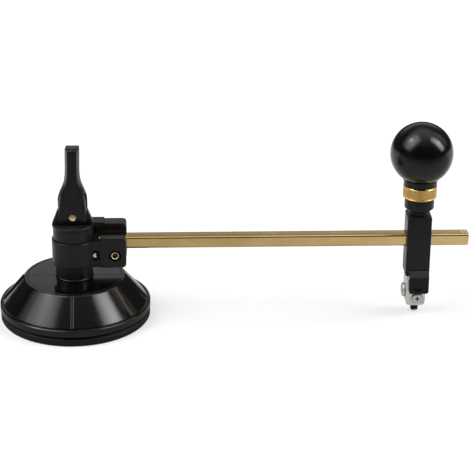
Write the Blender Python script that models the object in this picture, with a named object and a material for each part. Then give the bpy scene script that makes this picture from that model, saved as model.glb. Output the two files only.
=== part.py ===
"""Circle glass cutter: a suction cup with a swivelling clamp, a square bar and a cutting head.

Metres, +Z up. The origin is the centre of the suction cup's face on the glass, which is
the centre of the circles that it cuts. The bar runs along +X.
"""

import math

import bmesh
import bpy
from mathutils import Matrix, Vector

# Clearances and facets
GAP = 0.0003
CUT_OVERRUN = 0.002
LARGE_FACETS = 60
ROUND_FACETS = 40
SMALL_FACETS = 24
ARC_STEPS = 3

# Suction cup and the plate moulded into it
CUP_RADIUS = 0.0399
CUP_RIM_HEIGHT = 0.0045
CUP_RIM_WIDTH = 0.0062
CUP_SHEET = 0.0032
CUP_EDGE_ROUND = 0.0005
CUP_FLOOR = 0.0020
CUP_CROWN = 0.0016
CUP_BOSS_WALL = 0.0018
ANCHOR_RADIUS = 0.0080
ANCHOR_THICKNESS = 0.0020
ANCHOR_BOSS_WALL = 0.0018
ANCHOR_BOSS_HEIGHT = 0.0045

# Stem, its head between the lever's legs, and the spring round it
STEM_RADIUS = 0.0025
STEM_HEAD_THICKNESS = 0.0034
STEM_HEAD_TOP_WIDTH = 0.0080
STEM_HEAD_RISE = 0.0085
STEM_HEAD_FLANK_RISE = 0.0040
STEM_FOOT_WIDTH = 0.0040
SPRING_RADIUS = 0.0050
SPRING_WIRE = 0.0010
SPRING_TURNS = 3
SPRING_TURN_POINTS = 16
SPRING_WASHER_RADIUS = 0.0060
SPRING_WASHER_THICKNESS = 0.0008
SPRING_SELF_GAP = 0.0004

# Base shell
FLANGE_OVERHANG = 0.0002
FLANGE_HEIGHT = 0.0044
FLANGE_ROUND = 0.0008
LEDGE_WIDTH = 0.0018
PLATEAU_RADIUS = 0.0269
PLATEAU_ROUND = 0.0007
SHELL_HEIGHT = 0.0181
SHELL_WALL = 0.0025
RIB_COUNT = 4
RIB_WIDTH = 0.0014
RIB_RISE = 0.0005

# Pivot post, its nut and the bush that turns on it
POST_ROOT_RADIUS = 0.0098
POST_ROOT_HEIGHT = 0.0073
POST_EDGE_ROUND = 0.0006
JOURNAL_RADIUS = 0.0070
BUSH_WALL = 0.0010
SPIGOT_RADIUS = 0.0062
SPIGOT_TIP = 0.0006
POST_NUT_RADIUS = 0.0100
POST_NUT_THICKNESS = 0.0036
CAP_STUD_RADIUS = 0.0050
CAP_STUD_HEIGHT = 0.0045

# Post cap
CAP_RADIUS = 0.0107
CAP_HEIGHT = 0.0080
CAP_LIP = 0.0003
CAP_LIP_THICKNESS = 0.0010
CAP_SLOT_DEPTH = 0.0020
SPANNER_HOLE_RADIUS = 0.0010
SPANNER_HOLE_DEPTH = 0.0014
SPANNER_HOLE_REACH = 0.0087
SPANNER_HOLE_DEGREES = -49

# Cam lever and its pin
PIN_RISE = 0.0058
LEVER_FOOT_WIDTH = 0.0158
LEVER_GRIP_WIDTH = 0.0073
LEVER_THICKNESS = 0.0074
LEVER_CHAMFER = 0.0012
LEVER_TOP_RISE = 0.0381
LEVER_LEAN = 0.0006
LEVER_TOP_ROUND = 0.0014
SHOULDER_RISE = 0.0085
SHOULDER_HEIGHT = 0.0180
SHOULDER_WIDTH_SHARES = (
    (0.00, 1.00), (0.13, 0.92), (0.21, 0.83), (0.28, 0.72), (0.37, 0.55),
    (0.47, 0.37), (0.56, 0.22), (0.66, 0.11), (0.82, 0.03), (1.00, 0.00),
)
CAM_STEPS = 8
FORK_CROTCH_RISE = 0.0130
PIN_RADIUS = 0.0015
PIN_HEAD_RADIUS = 0.0021
PIN_HEAD_THICKNESS = 0.0008
PIN_HEAD_SINK = 0.0002

# Swivel collar and its clamp ears
COLLAR_RADIUS = 0.0115
COLLAR_HEIGHT = 0.0141
COLLAR_EDGE_ROUND = 0.0006
EAR_REACH = 0.0279
EAR_START = 0.0142
EAR_ROUND = 0.0024
FRONT_EAR_THICKNESS = 0.0051
FRONT_EAR_HEIGHT = 0.0167
REAR_EAR_THICKNESS = 0.0079
REAR_EAR_HEIGHT = 0.0200
REAR_SHOULDER_RISE = 0.0007
REAR_SHOULDER_END = 0.0160
REAR_SHOULDER_START = 0.0085
WEB_STEP = 0.0008
WEB_START = 0.0040
SLIT_START = 0.0132

# Clamp screw, its nut and the small set screw
CLAMP_SCREW_X = 0.0220
CLAMP_SCREW_DROP = 0.0004
CLAMP_SHANK_RADIUS = 0.0015
CLAMP_HEAD_RADIUS = 0.0025
CLAMP_HEAD_HEIGHT = 0.0022
CLAMP_HEAD_SINK = 0.0005
CLAMP_SEAT_MARGIN = 0.0007
CLAMP_SOCKET_RADIUS = 0.0014
CLAMP_SOCKET_DEPTH = 0.0014
CLAMP_NUT_RADIUS = 0.0032
CLAMP_NUT_THICKNESS = 0.0024
SET_SCREW_X = 0.0117
SET_SCREW_RISE = 0.0065
SET_SCREW_RADIUS = 0.00145
SET_SCREW_LENGTH = 0.0030
SET_SCREW_SLOT = 0.0004
SET_RECESS_WIDTH = 0.0036
SET_RECESS_HEIGHT = 0.0058
SET_RECESS_SHIFT = 0.0004
SET_RECESS_DEPTH = 0.0012

# Graduated bar
BAR_SIZE = 0.0071
BAR_CHAMFER = 0.0005
BAR_END_CHAMFER = 0.0010
BAR_TAIL = 0.02045
BAR_HEIGHT = 0.0427

# Cutting head: block, ferrule and the plate on its foot
CUTTING_RADIUS = 0.1828
BLOCK_WIDTH = 0.0129
BLOCK_DEPTH = 0.0126
BLOCK_RISE = 0.0139
BLOCK_CHAMFER = 0.0004
NECK_RADIUS = 0.0045
NECK_HEIGHT = 0.0022
FERRULE_RADIUS = 0.0078
FERRULE_HEIGHT = 0.0069
FERRULE_CHAMFER = 0.0016
FOOT_PLATE_WIDTH = 0.0105
FOOT_PLATE_SHIFT = 0.0009
FOOT_PLATE_THICKNESS = 0.0020
FOOT_PLATE_RISE = 0.0031
FOOT_PLATE_SLOPE = 0.0035
FOOT_PLATE_ROUND = 0.0015
PLATE_SCREW_RISE = 0.0030
PLATE_SCREW_RADIUS = 0.0009
PLATE_SCREW_HEAD_RADIUS = 0.0014
PLATE_SCREW_HEAD = 0.0008
PLATE_SCREW_SINK = 0.0007
PLATE_SCREW_BITE = 0.0020

# Knob, lock nut, spindle and shoe
SPINDLE_RADIUS = 0.0030
SPINDLE_ENTRY = 0.0170
LOCK_NUT_RADIUS = 0.0089
LOCK_NUT_HEIGHT = 0.0071
LOCK_NUT_BEAD = 0.0010
KNURL_DEPTH = 0.0003
KNURL_TEETH = 48
NECK_COLLAR_RADIUS = 0.0092
NECK_COLLAR_FOOT_RADIUS = 0.0088
NECK_COLLAR_HEIGHT = 0.0032
BALL_RADIUS = 0.0165
BALL_SEAT_RADIUS = 0.0094
BALL_STEPS = 15
INSERT_WALL = 0.0018
INSERT_LENGTH = 0.0160
SHOE_LENGTH = 0.0080
SHOE_WIDTH = 0.0062
SHOE_THICKNESS = 0.0020
KNOB_TRAVEL = 0.0030

# Wheel carrier, its screws, the wheel holder and the wheel
CARRIER_WIDTH = 0.0103
CARRIER_SHIFT = -0.0004
CARRIER_BOTTOM = 0.0057
CARRIER_HEIGHT = 0.0171
CARRIER_ROUND = 0.0026
CARRIER_SPIGOT_RADIUS = 0.0030
CARRIER_SPIGOT_HEIGHT = 0.0070
OIL_HOLE_RADIUS = 0.0007
OIL_HOLE_DEPTH = 0.0020
OIL_HOLE_INSET = 0.0014
OIL_HOLE_DROP = 0.0031
FRONT_SCREW_HEIGHT = 0.0103
FRONT_SCREW_HEAD_RADIUS = 0.0029
FRONT_SCREW_HEAD = 0.0013
FRONT_SCREW_SHIFT = 0.0004
FRONT_SCREW_RADIUS = 0.0015
CROSS_LENGTH = 0.0030
CROSS_WIDTH = 0.0007
CROSS_DEPTH = 0.0007
SIDE_SCREW_HEIGHT = 0.0125
SIDE_SCREW_HEAD_RADIUS = 0.0038
SIDE_SCREW_HEAD = 0.0015
SIDE_SCREW_RADIUS = 0.0018
SIDE_SLOT_WIDTH = 0.0009
SIDE_SLOT_DEPTH = 0.0007
HOLDER_RADIUS = 0.00205
HOLDER_HEIGHT = 0.0160
HOLDER_CLEARANCE = 0.0005
WHEEL_RADIUS = 0.0020
WHEEL_THICKNESS = 0.0010
WHEEL_EDGE_THICKNESS = 0.0002
WHEEL_SIDE_GAP = 0.0002
AXLE_RADIUS = 0.0005
AXLE_GAP = 0.00008

# Heights of the stack on the glass, from the bottom up
ANCHOR_BASE = CUP_FLOOR + GAP
ANCHOR_TOP = ANCHOR_BASE + ANCHOR_THICKNESS
CUP_CROWN_BASE = ANCHOR_TOP + GAP
CUP_BOSS_TOP = CUP_CROWN_BASE + CUP_CROWN
ANCHOR_BOSS_TOP = ANCHOR_TOP + ANCHOR_BOSS_HEIGHT
SPRING_WASHER_BASE = ANCHOR_BOSS_TOP + GAP
SPRING_WASHER_TOP = SPRING_WASHER_BASE + SPRING_WASHER_THICKNESS
SHELL_BASE = CUP_RIM_HEIGHT + GAP
LEDGE_TOP = SHELL_BASE + FLANGE_HEIGHT
PLATEAU_TOP = SHELL_BASE + SHELL_HEIGHT
SHELL_CEILING = PLATEAU_TOP - SHELL_WALL
POST_BASE = PLATEAU_TOP + GAP
POST_NUT_TOP = SHELL_CEILING - GAP
POST_NUT_BASE = POST_NUT_TOP - POST_NUT_THICKNESS
POST_FOOT = POST_NUT_BASE - SPIGOT_TIP
POST_SHOULDER = POST_BASE + POST_ROOT_HEIGHT
COLLAR_BASE = POST_SHOULDER + GAP
COLLAR_TOP = COLLAR_BASE + COLLAR_HEIGHT
CAP_BASE = COLLAR_TOP + GAP
CAP_TOP = CAP_BASE + CAP_HEIGHT
CAP_SLOT_FLOOR = CAP_TOP - CAP_SLOT_DEPTH
PIN_HEIGHT = CAP_SLOT_FLOOR + PIN_RISE

# Sizes that follow from the ones above
FLANGE_RADIUS = CUP_RADIUS + FLANGE_OVERHANG
STEM_BORE = STEM_RADIUS + GAP
CAM_DROP = PIN_RISE - GAP
CAM_SIDE = LEVER_FOOT_WIDTH / 2
CAM_LIFT = CAM_SIDE - CAM_DROP
LEG_GAP = STEM_HEAD_THICKNESS + 2 * GAP
CAP_SLOT_WIDTH = LEVER_THICKNESS + 2 * GAP
LIP_RADIUS = CAP_RADIUS + CAP_LIP
BUSH_BORE = JOURNAL_RADIUS + GAP
BUSH_RADIUS = BUSH_BORE + BUSH_WALL
COLLAR_BORE = BUSH_RADIUS + GAP
SLIT_WIDTH = BAR_SIZE + 2 * GAP
FRONT_FACE = -(SLIT_WIDTH / 2 + FRONT_EAR_THICKNESS)
REAR_FACE = SLIT_WIDTH / 2 + REAR_EAR_THICKNESS
BAR_START = SLIT_START + GAP
BAR_END = CUTTING_RADIUS + BLOCK_WIDTH / 2 + BAR_TAIL
BAR_BOTTOM = BAR_HEIGHT - BAR_SIZE / 2
BAR_TOP = BAR_HEIGHT + BAR_SIZE / 2
CLAMP_SCREW_HEIGHT = BAR_BOTTOM - CLAMP_SHANK_RADIUS - CLAMP_SCREW_DROP
CLAMP_SEAT_RADIUS = CLAMP_HEAD_RADIUS + CLAMP_SEAT_MARGIN
CLAMP_SEAT_DEPTH = CLAMP_HEAD_SINK + CLAMP_HEAD_HEIGHT + GAP
SET_SCREW_HEIGHT = COLLAR_BASE + SET_SCREW_RISE

# Heights of the cutting head, from the glass up
CARRIER_TOP = CARRIER_BOTTOM + CARRIER_HEIGHT
BLOCK_BOTTOM = CARRIER_TOP + GAP
BLOCK_TOP = BAR_HEIGHT + BLOCK_RISE
NECK_TOP = BLOCK_TOP + NECK_HEIGHT
FERRULE_BASE = NECK_TOP + GAP
FERRULE_TOP = FERRULE_BASE + FERRULE_HEIGHT
LOCK_NUT_BASE = FERRULE_TOP + GAP
LOCK_NUT_TOP = LOCK_NUT_BASE + LOCK_NUT_HEIGHT
NECK_COLLAR_BASE = LOCK_NUT_TOP + GAP
NECK_COLLAR_TOP = NECK_COLLAR_BASE + NECK_COLLAR_HEIGHT
BALL_BASE = NECK_COLLAR_TOP + GAP
BALL_CENTRE = BALL_BASE + math.sqrt(BALL_RADIUS ** 2 - BALL_SEAT_RADIUS ** 2)
SHOE_BASE = BAR_TOP + GAP
SHOE_TOP = SHOE_BASE + SHOE_THICKNESS
SPINDLE_FOOT = SHOE_TOP + GAP
SPINDLE_TOP = BALL_BASE + SPINDLE_ENTRY
WINDOW_TOP = SHOE_TOP + KNOB_TRAVEL + 2 * GAP
SPINDLE_BORE = SPINDLE_RADIUS + GAP
INSERT_RADIUS = SPINDLE_BORE + INSERT_WALL
INSERT_TOP = BALL_BASE + INSERT_LENGTH
BALL_BORE = INSERT_RADIUS + GAP
BALL_BORE_TOP = max(INSERT_TOP, SPINDLE_TOP) + GAP
HOLDER_BORE = HOLDER_RADIUS + GAP
HOLDER_BOTTOM = HOLDER_CLEARANCE
HOLDER_TOP = HOLDER_BOTTOM + HOLDER_HEIGHT
WHEEL_SLOT = WHEEL_THICKNESS + 2 * WHEEL_SIDE_GAP
CARRIER_FRONT = -BLOCK_DEPTH / 2
FOOT_PLATE_TOP = BLOCK_BOTTOM + FOOT_PLATE_RISE
FOOT_PLATE_BOTTOM = FRONT_SCREW_HEIGHT + FRONT_SCREW_HEAD_RADIUS + GAP
FOOT_PLATE_BACK = CARRIER_FRONT - GAP
FOOT_PLATE_FRONT = FOOT_PLATE_BACK - FOOT_PLATE_THICKNESS

# Where the joints are
POST_AXIS = Vector((0, 0, 0))
PIN_AXIS = Vector((0, 0, PIN_HEIGHT))
HEAD_AXIS = Vector((CUTTING_RADIUS, 0, 0))
WHEEL_AXIS = Vector((CUTTING_RADIUS, 0, WHEEL_RADIUS))


def clear_scene():
    for item in list(bpy.data.objects):
        bpy.data.objects.remove(item, do_unlink=True)


def make_material(name, colour, roughness, metallic=0):
    material = bpy.data.materials.new(name)
    material.use_nodes = True
    shader = material.node_tree.nodes["Principled BSDF"]
    shader.inputs["Base Color"].default_value = (*colour, 1)
    shader.inputs["Roughness"].default_value = roughness
    shader.inputs["Metallic"].default_value = metallic
    return material


def add_pivot(name, place, parent=None, parent_place=POST_AXIS):
    pivot = bpy.data.objects.new(name, None)
    pivot.location = place - parent_place
    pivot.parent = parent
    bpy.context.collection.objects.link(pivot)
    return pivot


def add_object(name, mesh_source, material, pivot, pivot_place, origin):
    mesh = bpy.data.meshes.new(name)
    bmesh.ops.recalc_face_normals(mesh_source, faces=mesh_source.faces)
    mesh_source.to_mesh(mesh)
    mesh_source.free()
    mesh.shade_smooth()
    mesh.set_sharp_from_angle(angle=math.radians(30))
    if material:
        mesh.materials.append(material)
    item = bpy.data.objects.new(name, mesh)
    item.parent = pivot
    item.location = origin - pivot_place
    bpy.context.collection.objects.link(item)
    return item


def arc(centre_r, centre_z, radius, start, end, steps=ARC_STEPS):
    points = []
    for step in range(steps + 1):
        angle = math.radians(start + (end - start) * step / steps)
        point = (centre_r + radius * math.cos(angle), centre_z + radius * math.sin(angle))
        points.append(point)
    return points


def turned(profile, facets=ROUND_FACETS):
    """Spin a closed outline of (radius, height) points round the Z axis."""
    mesh = bmesh.new()
    verts = [mesh.verts.new((radius, 0, height)) for radius, height in profile]
    edges = [mesh.edges.new((verts[i - 1], verts[i])) for i in range(len(verts))]
    on_axis = [edge for edge in edges if all(vert.co.x == 0 for vert in edge.verts)]
    bmesh.ops.delete(mesh, geom=on_axis, context="EDGES")
    geometry = list(mesh.verts) + list(mesh.edges)
    bmesh.ops.spin(mesh, geom=geometry, cent=(0, 0, 0), axis=(0, 0, 1),
                   angle=math.tau, steps=facets, use_merge=True)
    smallest = min(edge.calc_length() for edge in mesh.edges if edge.calc_length() > 0)
    bmesh.ops.remove_doubles(mesh, verts=mesh.verts, dist=smallest / 4)
    return mesh


def prism(outline, depth, direction="Y"):
    """Extrude an outline in the plane across `direction`, half the depth to each side."""
    mesh = bmesh.new()
    spots = {"X": lambda a, b: (-depth / 2, a, b), "Y": lambda a, b: (a, -depth / 2, b),
             "Z": lambda a, b: (a, b, -depth / 2)}
    verts = [mesh.verts.new(spots[direction](a, b)) for a, b in outline]
    face = mesh.faces.new(verts)
    grown = bmesh.ops.extrude_face_region(mesh, geom=[face])
    far = [item for item in grown["geom"] if isinstance(item, bmesh.types.BMVert)]
    along = {"X": (depth, 0, 0), "Y": (0, depth, 0), "Z": (0, 0, depth)}[direction]
    bmesh.ops.translate(mesh, verts=far, vec=along)
    return mesh


def block(low, high):
    mesh = bmesh.new()
    bmesh.ops.create_cube(mesh, size=1)
    for vert in mesh.verts:
        for axis in range(3):
            vert.co[axis] = high[axis] if vert.co[axis] > 0 else low[axis]
    return mesh


def rod(radius, start, end, direction="Z", facets=SMALL_FACETS):
    """A round or, with few facets, a polygonal bar from start to end along an axis."""
    mesh = bmesh.new()
    bmesh.ops.create_cone(mesh, cap_ends=True, segments=facets, radius1=radius,
                          radius2=radius, depth=end - start)
    bmesh.ops.translate(mesh, verts=mesh.verts, vec=(0, 0, (start + end) / 2))
    turns = {"X": Matrix.Rotation(math.pi / 2, 3, "Y"), "Z": Matrix.Identity(3),
             "Y": Matrix.Rotation(-math.pi / 2, 3, "X")}
    bmesh.ops.rotate(mesh, verts=mesh.verts, matrix=turns[direction])
    return mesh


def combine(target, mesh_source, place, operation="DIFFERENCE"):
    """Cut a helper solid out of the target, or join it on."""
    tool = add_object(f"{target.name}_{operation.lower()}_{len(target.modifiers)}",
                      mesh_source, None, None, POST_AXIS, place)
    tool.hide_render = True
    tool.display_type = "WIRE"
    modifier = target.modifiers.new(tool.name, "BOOLEAN")
    modifier.operation = operation
    modifier.object = tool
    modifier.solver = "EXACT"


def bevel(target, width, segments=1, angle=50):
    modifier = target.modifiers.new("edge", "BEVEL")
    modifier.width = width
    modifier.segments = segments
    modifier.limit_method = "ANGLE"
    modifier.angle_limit = math.radians(angle)


def rounded_box(width, low, high, radius, corners):
    """Outline from low to high, with the named corners rounded."""
    left = -width / 2
    right = width / 2
    points = []
    spots = (("low_left", left, low, 180), ("low_right", right, low, 270),
             ("high_right", right, high, 0), ("high_left", left, high, 90))
    for name, across, up, start in spots:
        if name in corners:
            inward_across = across - math.copysign(radius, across)
            inward_up = up + radius if up == low else up - radius
            points += arc(inward_across, inward_up, radius, start, start + 90)
        else:
            points.append((across, up))
    return points


# Suction cup
def build_cup(parts):
    rim_inner = CUP_RADIUS - CUP_RIM_WIDTH
    boss = ANCHOR_RADIUS + GAP + CUP_BOSS_WALL
    throat = STEM_BORE + ANCHOR_BOSS_WALL + GAP
    edge = CUP_RADIUS - CUP_EDGE_ROUND
    profile = [(0, 0)]
    profile += arc(edge, CUP_EDGE_ROUND, CUP_EDGE_ROUND, -90, 0)
    profile += arc(edge, CUP_RIM_HEIGHT - CUP_EDGE_ROUND, CUP_EDGE_ROUND, 0, 90)
    profile += [
        (rim_inner, CUP_RIM_HEIGHT),
        (rim_inner - CUP_EDGE_ROUND, CUP_SHEET),
        (boss + CUP_EDGE_ROUND, CUP_SHEET),
        (boss, CUP_SHEET + CUP_EDGE_ROUND),
        (boss, CUP_BOSS_TOP),
        (throat, CUP_BOSS_TOP),
        (throat, CUP_CROWN_BASE),
        (ANCHOR_RADIUS + GAP, CUP_CROWN_BASE),
        (ANCHOR_RADIUS + GAP, CUP_FLOOR),
        (0, CUP_FLOOR),
    ]
    parts.add("suction_cup", turned(profile, LARGE_FACETS), "rubber", "base")


# Steel plate moulded into the cup, with the threaded boss for the stem
def build_anchor(parts):
    boss = STEM_BORE + ANCHOR_BOSS_WALL
    profile = [
        (0, ANCHOR_BASE),
        (ANCHOR_RADIUS, ANCHOR_BASE),
        (ANCHOR_RADIUS, ANCHOR_TOP),
        (boss, ANCHOR_TOP),
        (boss, ANCHOR_BOSS_TOP),
        (STEM_BORE, ANCHOR_BOSS_TOP),
        (STEM_BORE, ANCHOR_TOP),
        (0, ANCHOR_TOP),
    ]
    parts.add("stem_anchor", turned(profile, SMALL_FACETS), "steel", "stem")


# Stem: a round rod whose flat head stands between the lever's legs
def build_stem(parts):
    foot_base = PIN_HEIGHT - CAM_SIDE - GAP
    foot_overlap = STEM_FOOT_WIDTH / 4
    stem = parts.add("cup_stem", rod(STEM_RADIUS, ANCHOR_TOP + GAP, foot_base), "steel", "stem")
    head_base = CAP_SLOT_FLOOR + GAP
    foot = [
        (-STEM_FOOT_WIDTH / 2, foot_base - foot_overlap),
        (STEM_FOOT_WIDTH / 2, foot_base - foot_overlap),
        (STEM_FOOT_WIDTH / 2, head_base),
        (LIP_RADIUS, head_base),
        (LIP_RADIUS, CAP_TOP),
        (CAM_SIDE, PIN_HEIGHT + STEM_HEAD_FLANK_RISE),
        (STEM_HEAD_TOP_WIDTH / 2, PIN_HEIGHT + STEM_HEAD_RISE),
    ]
    outline = foot + [(-across, up) for across, up in reversed(foot[2:])]
    combine(stem, prism(outline, STEM_HEAD_THICKNESS), POST_AXIS, "UNION")
    reach = STEM_HEAD_THICKNESS / 2 + CUT_OVERRUN
    combine(stem, rod(PIN_RADIUS + GAP, -reach, reach, "Y"), PIN_AXIS)


def build_spring(parts):
    washer = [
        (STEM_BORE, SPRING_WASHER_BASE),
        (SPRING_WASHER_RADIUS, SPRING_WASHER_BASE),
        (SPRING_WASHER_RADIUS, SPRING_WASHER_TOP),
        (STEM_BORE, SPRING_WASHER_TOP),
    ]
    parts.add("spring_washer", turned(washer, SMALL_FACETS), "steel", "stem")
    wire = SPRING_WIRE / 2
    low = SPRING_WASHER_TOP + GAP + wire
    high = POST_FOOT - GAP - wire
    count = SPRING_TURNS * SPRING_TURN_POINTS
    curve = bpy.data.curves.new("return_spring", "CURVE")
    curve.dimensions = "3D"
    curve.bevel_depth = wire
    curve.bevel_resolution = 1
    curve.use_fill_caps = True
    spline = curve.splines.new("POLY")
    spline.points.add(count)
    places = []
    for step in range(count + 1):
        angle = math.tau * step / SPRING_TURN_POINTS
        place = Vector((SPRING_RADIUS * math.cos(angle), SPRING_RADIUS * math.sin(angle),
                        low + (high - low) * step / count))
        spline.points[step].co = (*place, 1)
        places.append(place)
    least = min((places[i + SPRING_TURN_POINTS] - places[i]).length
                for i in range(count + 1 - SPRING_TURN_POINTS)) - SPRING_WIRE
    print(f"return_spring: least gap between turns {least * 1000:.2f} mm")
    parts.adopt("return_spring", curve, "steel", "base")


# Base shell: flange, cone with four ribs, and flat plateau
def build_shell(parts):
    cone_foot = FLANGE_RADIUS - LEDGE_WIDTH
    slope = Vector((PLATEAU_RADIUS - cone_foot, PLATEAU_TOP - LEDGE_TOP))
    across_wall = SHELL_WALL * slope.length / slope.y
    inner_foot = cone_foot - across_wall
    inner_top = PLATEAU_RADIUS - across_wall + SHELL_WALL * -slope.x / slope.y
    post_hole = SPIGOT_RADIUS + GAP
    profile = [(inner_foot, SHELL_BASE), (FLANGE_RADIUS, SHELL_BASE)]
    profile += arc(FLANGE_RADIUS - FLANGE_ROUND, LEDGE_TOP - FLANGE_ROUND, FLANGE_ROUND, 0, 90)
    profile.append((cone_foot, LEDGE_TOP))
    lean = math.degrees(math.atan2(-slope.x, slope.y))
    profile += arc(PLATEAU_RADIUS - PLATEAU_ROUND, PLATEAU_TOP - PLATEAU_ROUND, PLATEAU_ROUND,
                   90 - lean - (90 - lean) / 2, 90, 3)
    profile += [
        (post_hole, PLATEAU_TOP),
        (post_hole, SHELL_CEILING),
        (inner_top, SHELL_CEILING),
        (inner_foot, LEDGE_TOP),
    ]
    shell = parts.add("base_shell", turned(profile, LARGE_FACETS), "black_plastic", "base")
    rib = [
        (cone_foot - SHELL_WALL / 2, LEDGE_TOP - SHELL_WALL / 4),
        (cone_foot + RIB_RISE, LEDGE_TOP - SHELL_WALL / 4),
        (cone_foot + RIB_RISE, LEDGE_TOP + RIB_RISE),
        (PLATEAU_RADIUS + RIB_RISE / 2, PLATEAU_TOP - RIB_RISE / 2),
        (PLATEAU_RADIUS - SHELL_WALL / 2, PLATEAU_TOP - RIB_RISE),
    ]
    for index in range(RIB_COUNT):
        fin = prism(rib, RIB_WIDTH)
        spin = Matrix.Rotation(math.tau * index / RIB_COUNT, 3, "Z")
        bmesh.ops.rotate(fin, verts=fin.verts, matrix=spin)
        combine(shell, fin, POST_AXIS, "UNION")


# Pivot post, the nut that holds it from inside and the bush on it
def build_post(parts):
    round_end = POST_EDGE_ROUND
    stud_top = CAP_BASE + CAP_STUD_HEIGHT
    profile = [
        (STEM_BORE, POST_FOOT),
        (SPIGOT_RADIUS, POST_FOOT),
        (SPIGOT_RADIUS, POST_BASE),
        (POST_ROOT_RADIUS, POST_BASE),
    ]
    profile += arc(POST_ROOT_RADIUS - round_end, POST_SHOULDER - round_end, round_end, 0, 90, 3)
    profile += [
        (JOURNAL_RADIUS, POST_SHOULDER),
        (JOURNAL_RADIUS, COLLAR_TOP),
        (CAP_STUD_RADIUS, COLLAR_TOP),
        (CAP_STUD_RADIUS, stud_top),
        (STEM_BORE, stud_top),
    ]
    parts.add("pivot_post", turned(profile), "black_metal", "base")
    nut = rod(POST_NUT_RADIUS, POST_NUT_BASE, POST_NUT_TOP, facets=6)
    nut_item = parts.add("post_nut", nut, "steel", "base")
    hole = rod(SPIGOT_RADIUS + GAP, POST_NUT_BASE - CUT_OVERRUN, POST_NUT_TOP + CUT_OVERRUN)
    combine(nut_item, hole, POST_AXIS)
    bush = [
        (BUSH_BORE, COLLAR_BASE),
        (BUSH_RADIUS, COLLAR_BASE),
        (BUSH_RADIUS, COLLAR_TOP),
        (BUSH_BORE, COLLAR_TOP),
    ]
    parts.add("collar_bush", turned(bush), "brass", "arm")


# Post cap with the slot that the lever's legs stand in
def build_cap(parts):
    stud_hole = CAP_STUD_RADIUS + GAP
    stud_roof = CAP_BASE + CAP_STUD_HEIGHT + GAP
    lip_base = CAP_TOP - CAP_LIP_THICKNESS
    profile = [
        (stud_hole, CAP_BASE),
        (CAP_RADIUS, CAP_BASE),
        (CAP_RADIUS, lip_base - CAP_LIP),
        (LIP_RADIUS, lip_base),
    ]
    profile += arc(LIP_RADIUS - CAP_LIP / 2, CAP_TOP - CAP_LIP / 2, CAP_LIP / 2, 0, 90, 3)
    profile += [(STEM_BORE, CAP_TOP), (STEM_BORE, stud_roof), (stud_hole, stud_roof)]
    cap = parts.add("post_cap", turned(profile, LARGE_FACETS), "black_metal", "base")
    side = LIP_RADIUS + CUT_OVERRUN
    slot_low = (-side, -CAP_SLOT_WIDTH / 2, CAP_SLOT_FLOOR)
    slot_high = (side, CAP_SLOT_WIDTH / 2, CAP_TOP + CUT_OVERRUN)
    combine(cap, block(slot_low, slot_high), POST_AXIS)
    for half_turn in range(2):
        angle = math.radians(SPANNER_HOLE_DEGREES) + math.pi * half_turn
        hole_place = Vector((math.cos(angle), math.sin(angle), 0)) * SPANNER_HOLE_REACH
        hole = rod(SPANNER_HOLE_RADIUS, CAP_TOP - SPANNER_HOLE_DEPTH, CAP_TOP + CUT_OVERRUN,
                   facets=SMALL_FACETS // 2)
        combine(cap, hole, hole_place)


def cam_curve():
    """Right side of the lever's foot, so shaped that the stem lifts evenly as it turns."""
    rate = CAM_LIFT / (math.pi / 2)
    points = []
    for step in range(CAM_STEPS + 1):
        angle = math.pi / 2 * step / CAM_STEPS
        reach = CAM_DROP + rate * angle
        across = reach * math.sin(angle) + rate * math.cos(angle)
        up = -reach * math.cos(angle) + rate * math.sin(angle)
        points.append((across, up))
    return points


def lean(height):
    """The grip leans a little sideways above the shoulders."""
    above = max(0, height - SHOULDER_RISE)
    return LEVER_LEAN * above / (LEVER_TOP_RISE - SHOULDER_RISE)


def is_long_edge(edge, low, high):
    one, two = edge.verts
    along = one.co.y == two.co.y and one.co.z != two.co.z
    return along and all(low < vert.co.z <= high for vert in edge.verts)


# Cam lever: a forked foot, two shoulders and a narrow grip
def build_lever(parts):
    grip = LEVER_GRIP_WIDTH / 2
    right = cam_curve()
    for height_share, width_share in SHOULDER_WIDTH_SHARES:
        across = grip + (CAM_SIDE - grip) * width_share
        right.append((across, SHOULDER_RISE + SHOULDER_HEIGHT * height_share))
    top = LEVER_TOP_RISE - LEVER_TOP_ROUND
    right += arc(grip - LEVER_TOP_ROUND, top, LEVER_TOP_ROUND, 0, 90, 3)
    outline = right + [(-across, up) for across, up in reversed(right)]
    body = prism([(across + lean(up), up) for across, up in outline], LEVER_THICKNESS)
    long_edges = [edge for edge in body.edges if is_long_edge(edge, 0, top)]
    bmesh.ops.bevel(body, geom=long_edges, offset=LEVER_CHAMFER, affect="EDGES")
    lever = parts.add("cam_lever", body, "black_plastic", "lever")
    side = CAM_SIDE + CUT_OVERRUN
    fork_low = (-side, -LEG_GAP / 2, -CAM_SIDE)
    fork_high = (side, LEG_GAP / 2, FORK_CROTCH_RISE)
    combine(lever, block(fork_low, fork_high), PIN_AXIS)
    face = LEVER_THICKNESS / 2
    reach = face + CUT_OVERRUN
    combine(lever, rod(PIN_RADIUS + GAP, -reach, reach, "Y"), PIN_AXIS)
    seat = face - PIN_HEAD_SINK - PIN_HEAD_THICKNESS - GAP
    for start, end in ((-reach, -seat), (seat, reach)):
        combine(lever, rod(PIN_HEAD_RADIUS + GAP, start, end, "Y"), PIN_AXIS)


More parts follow.
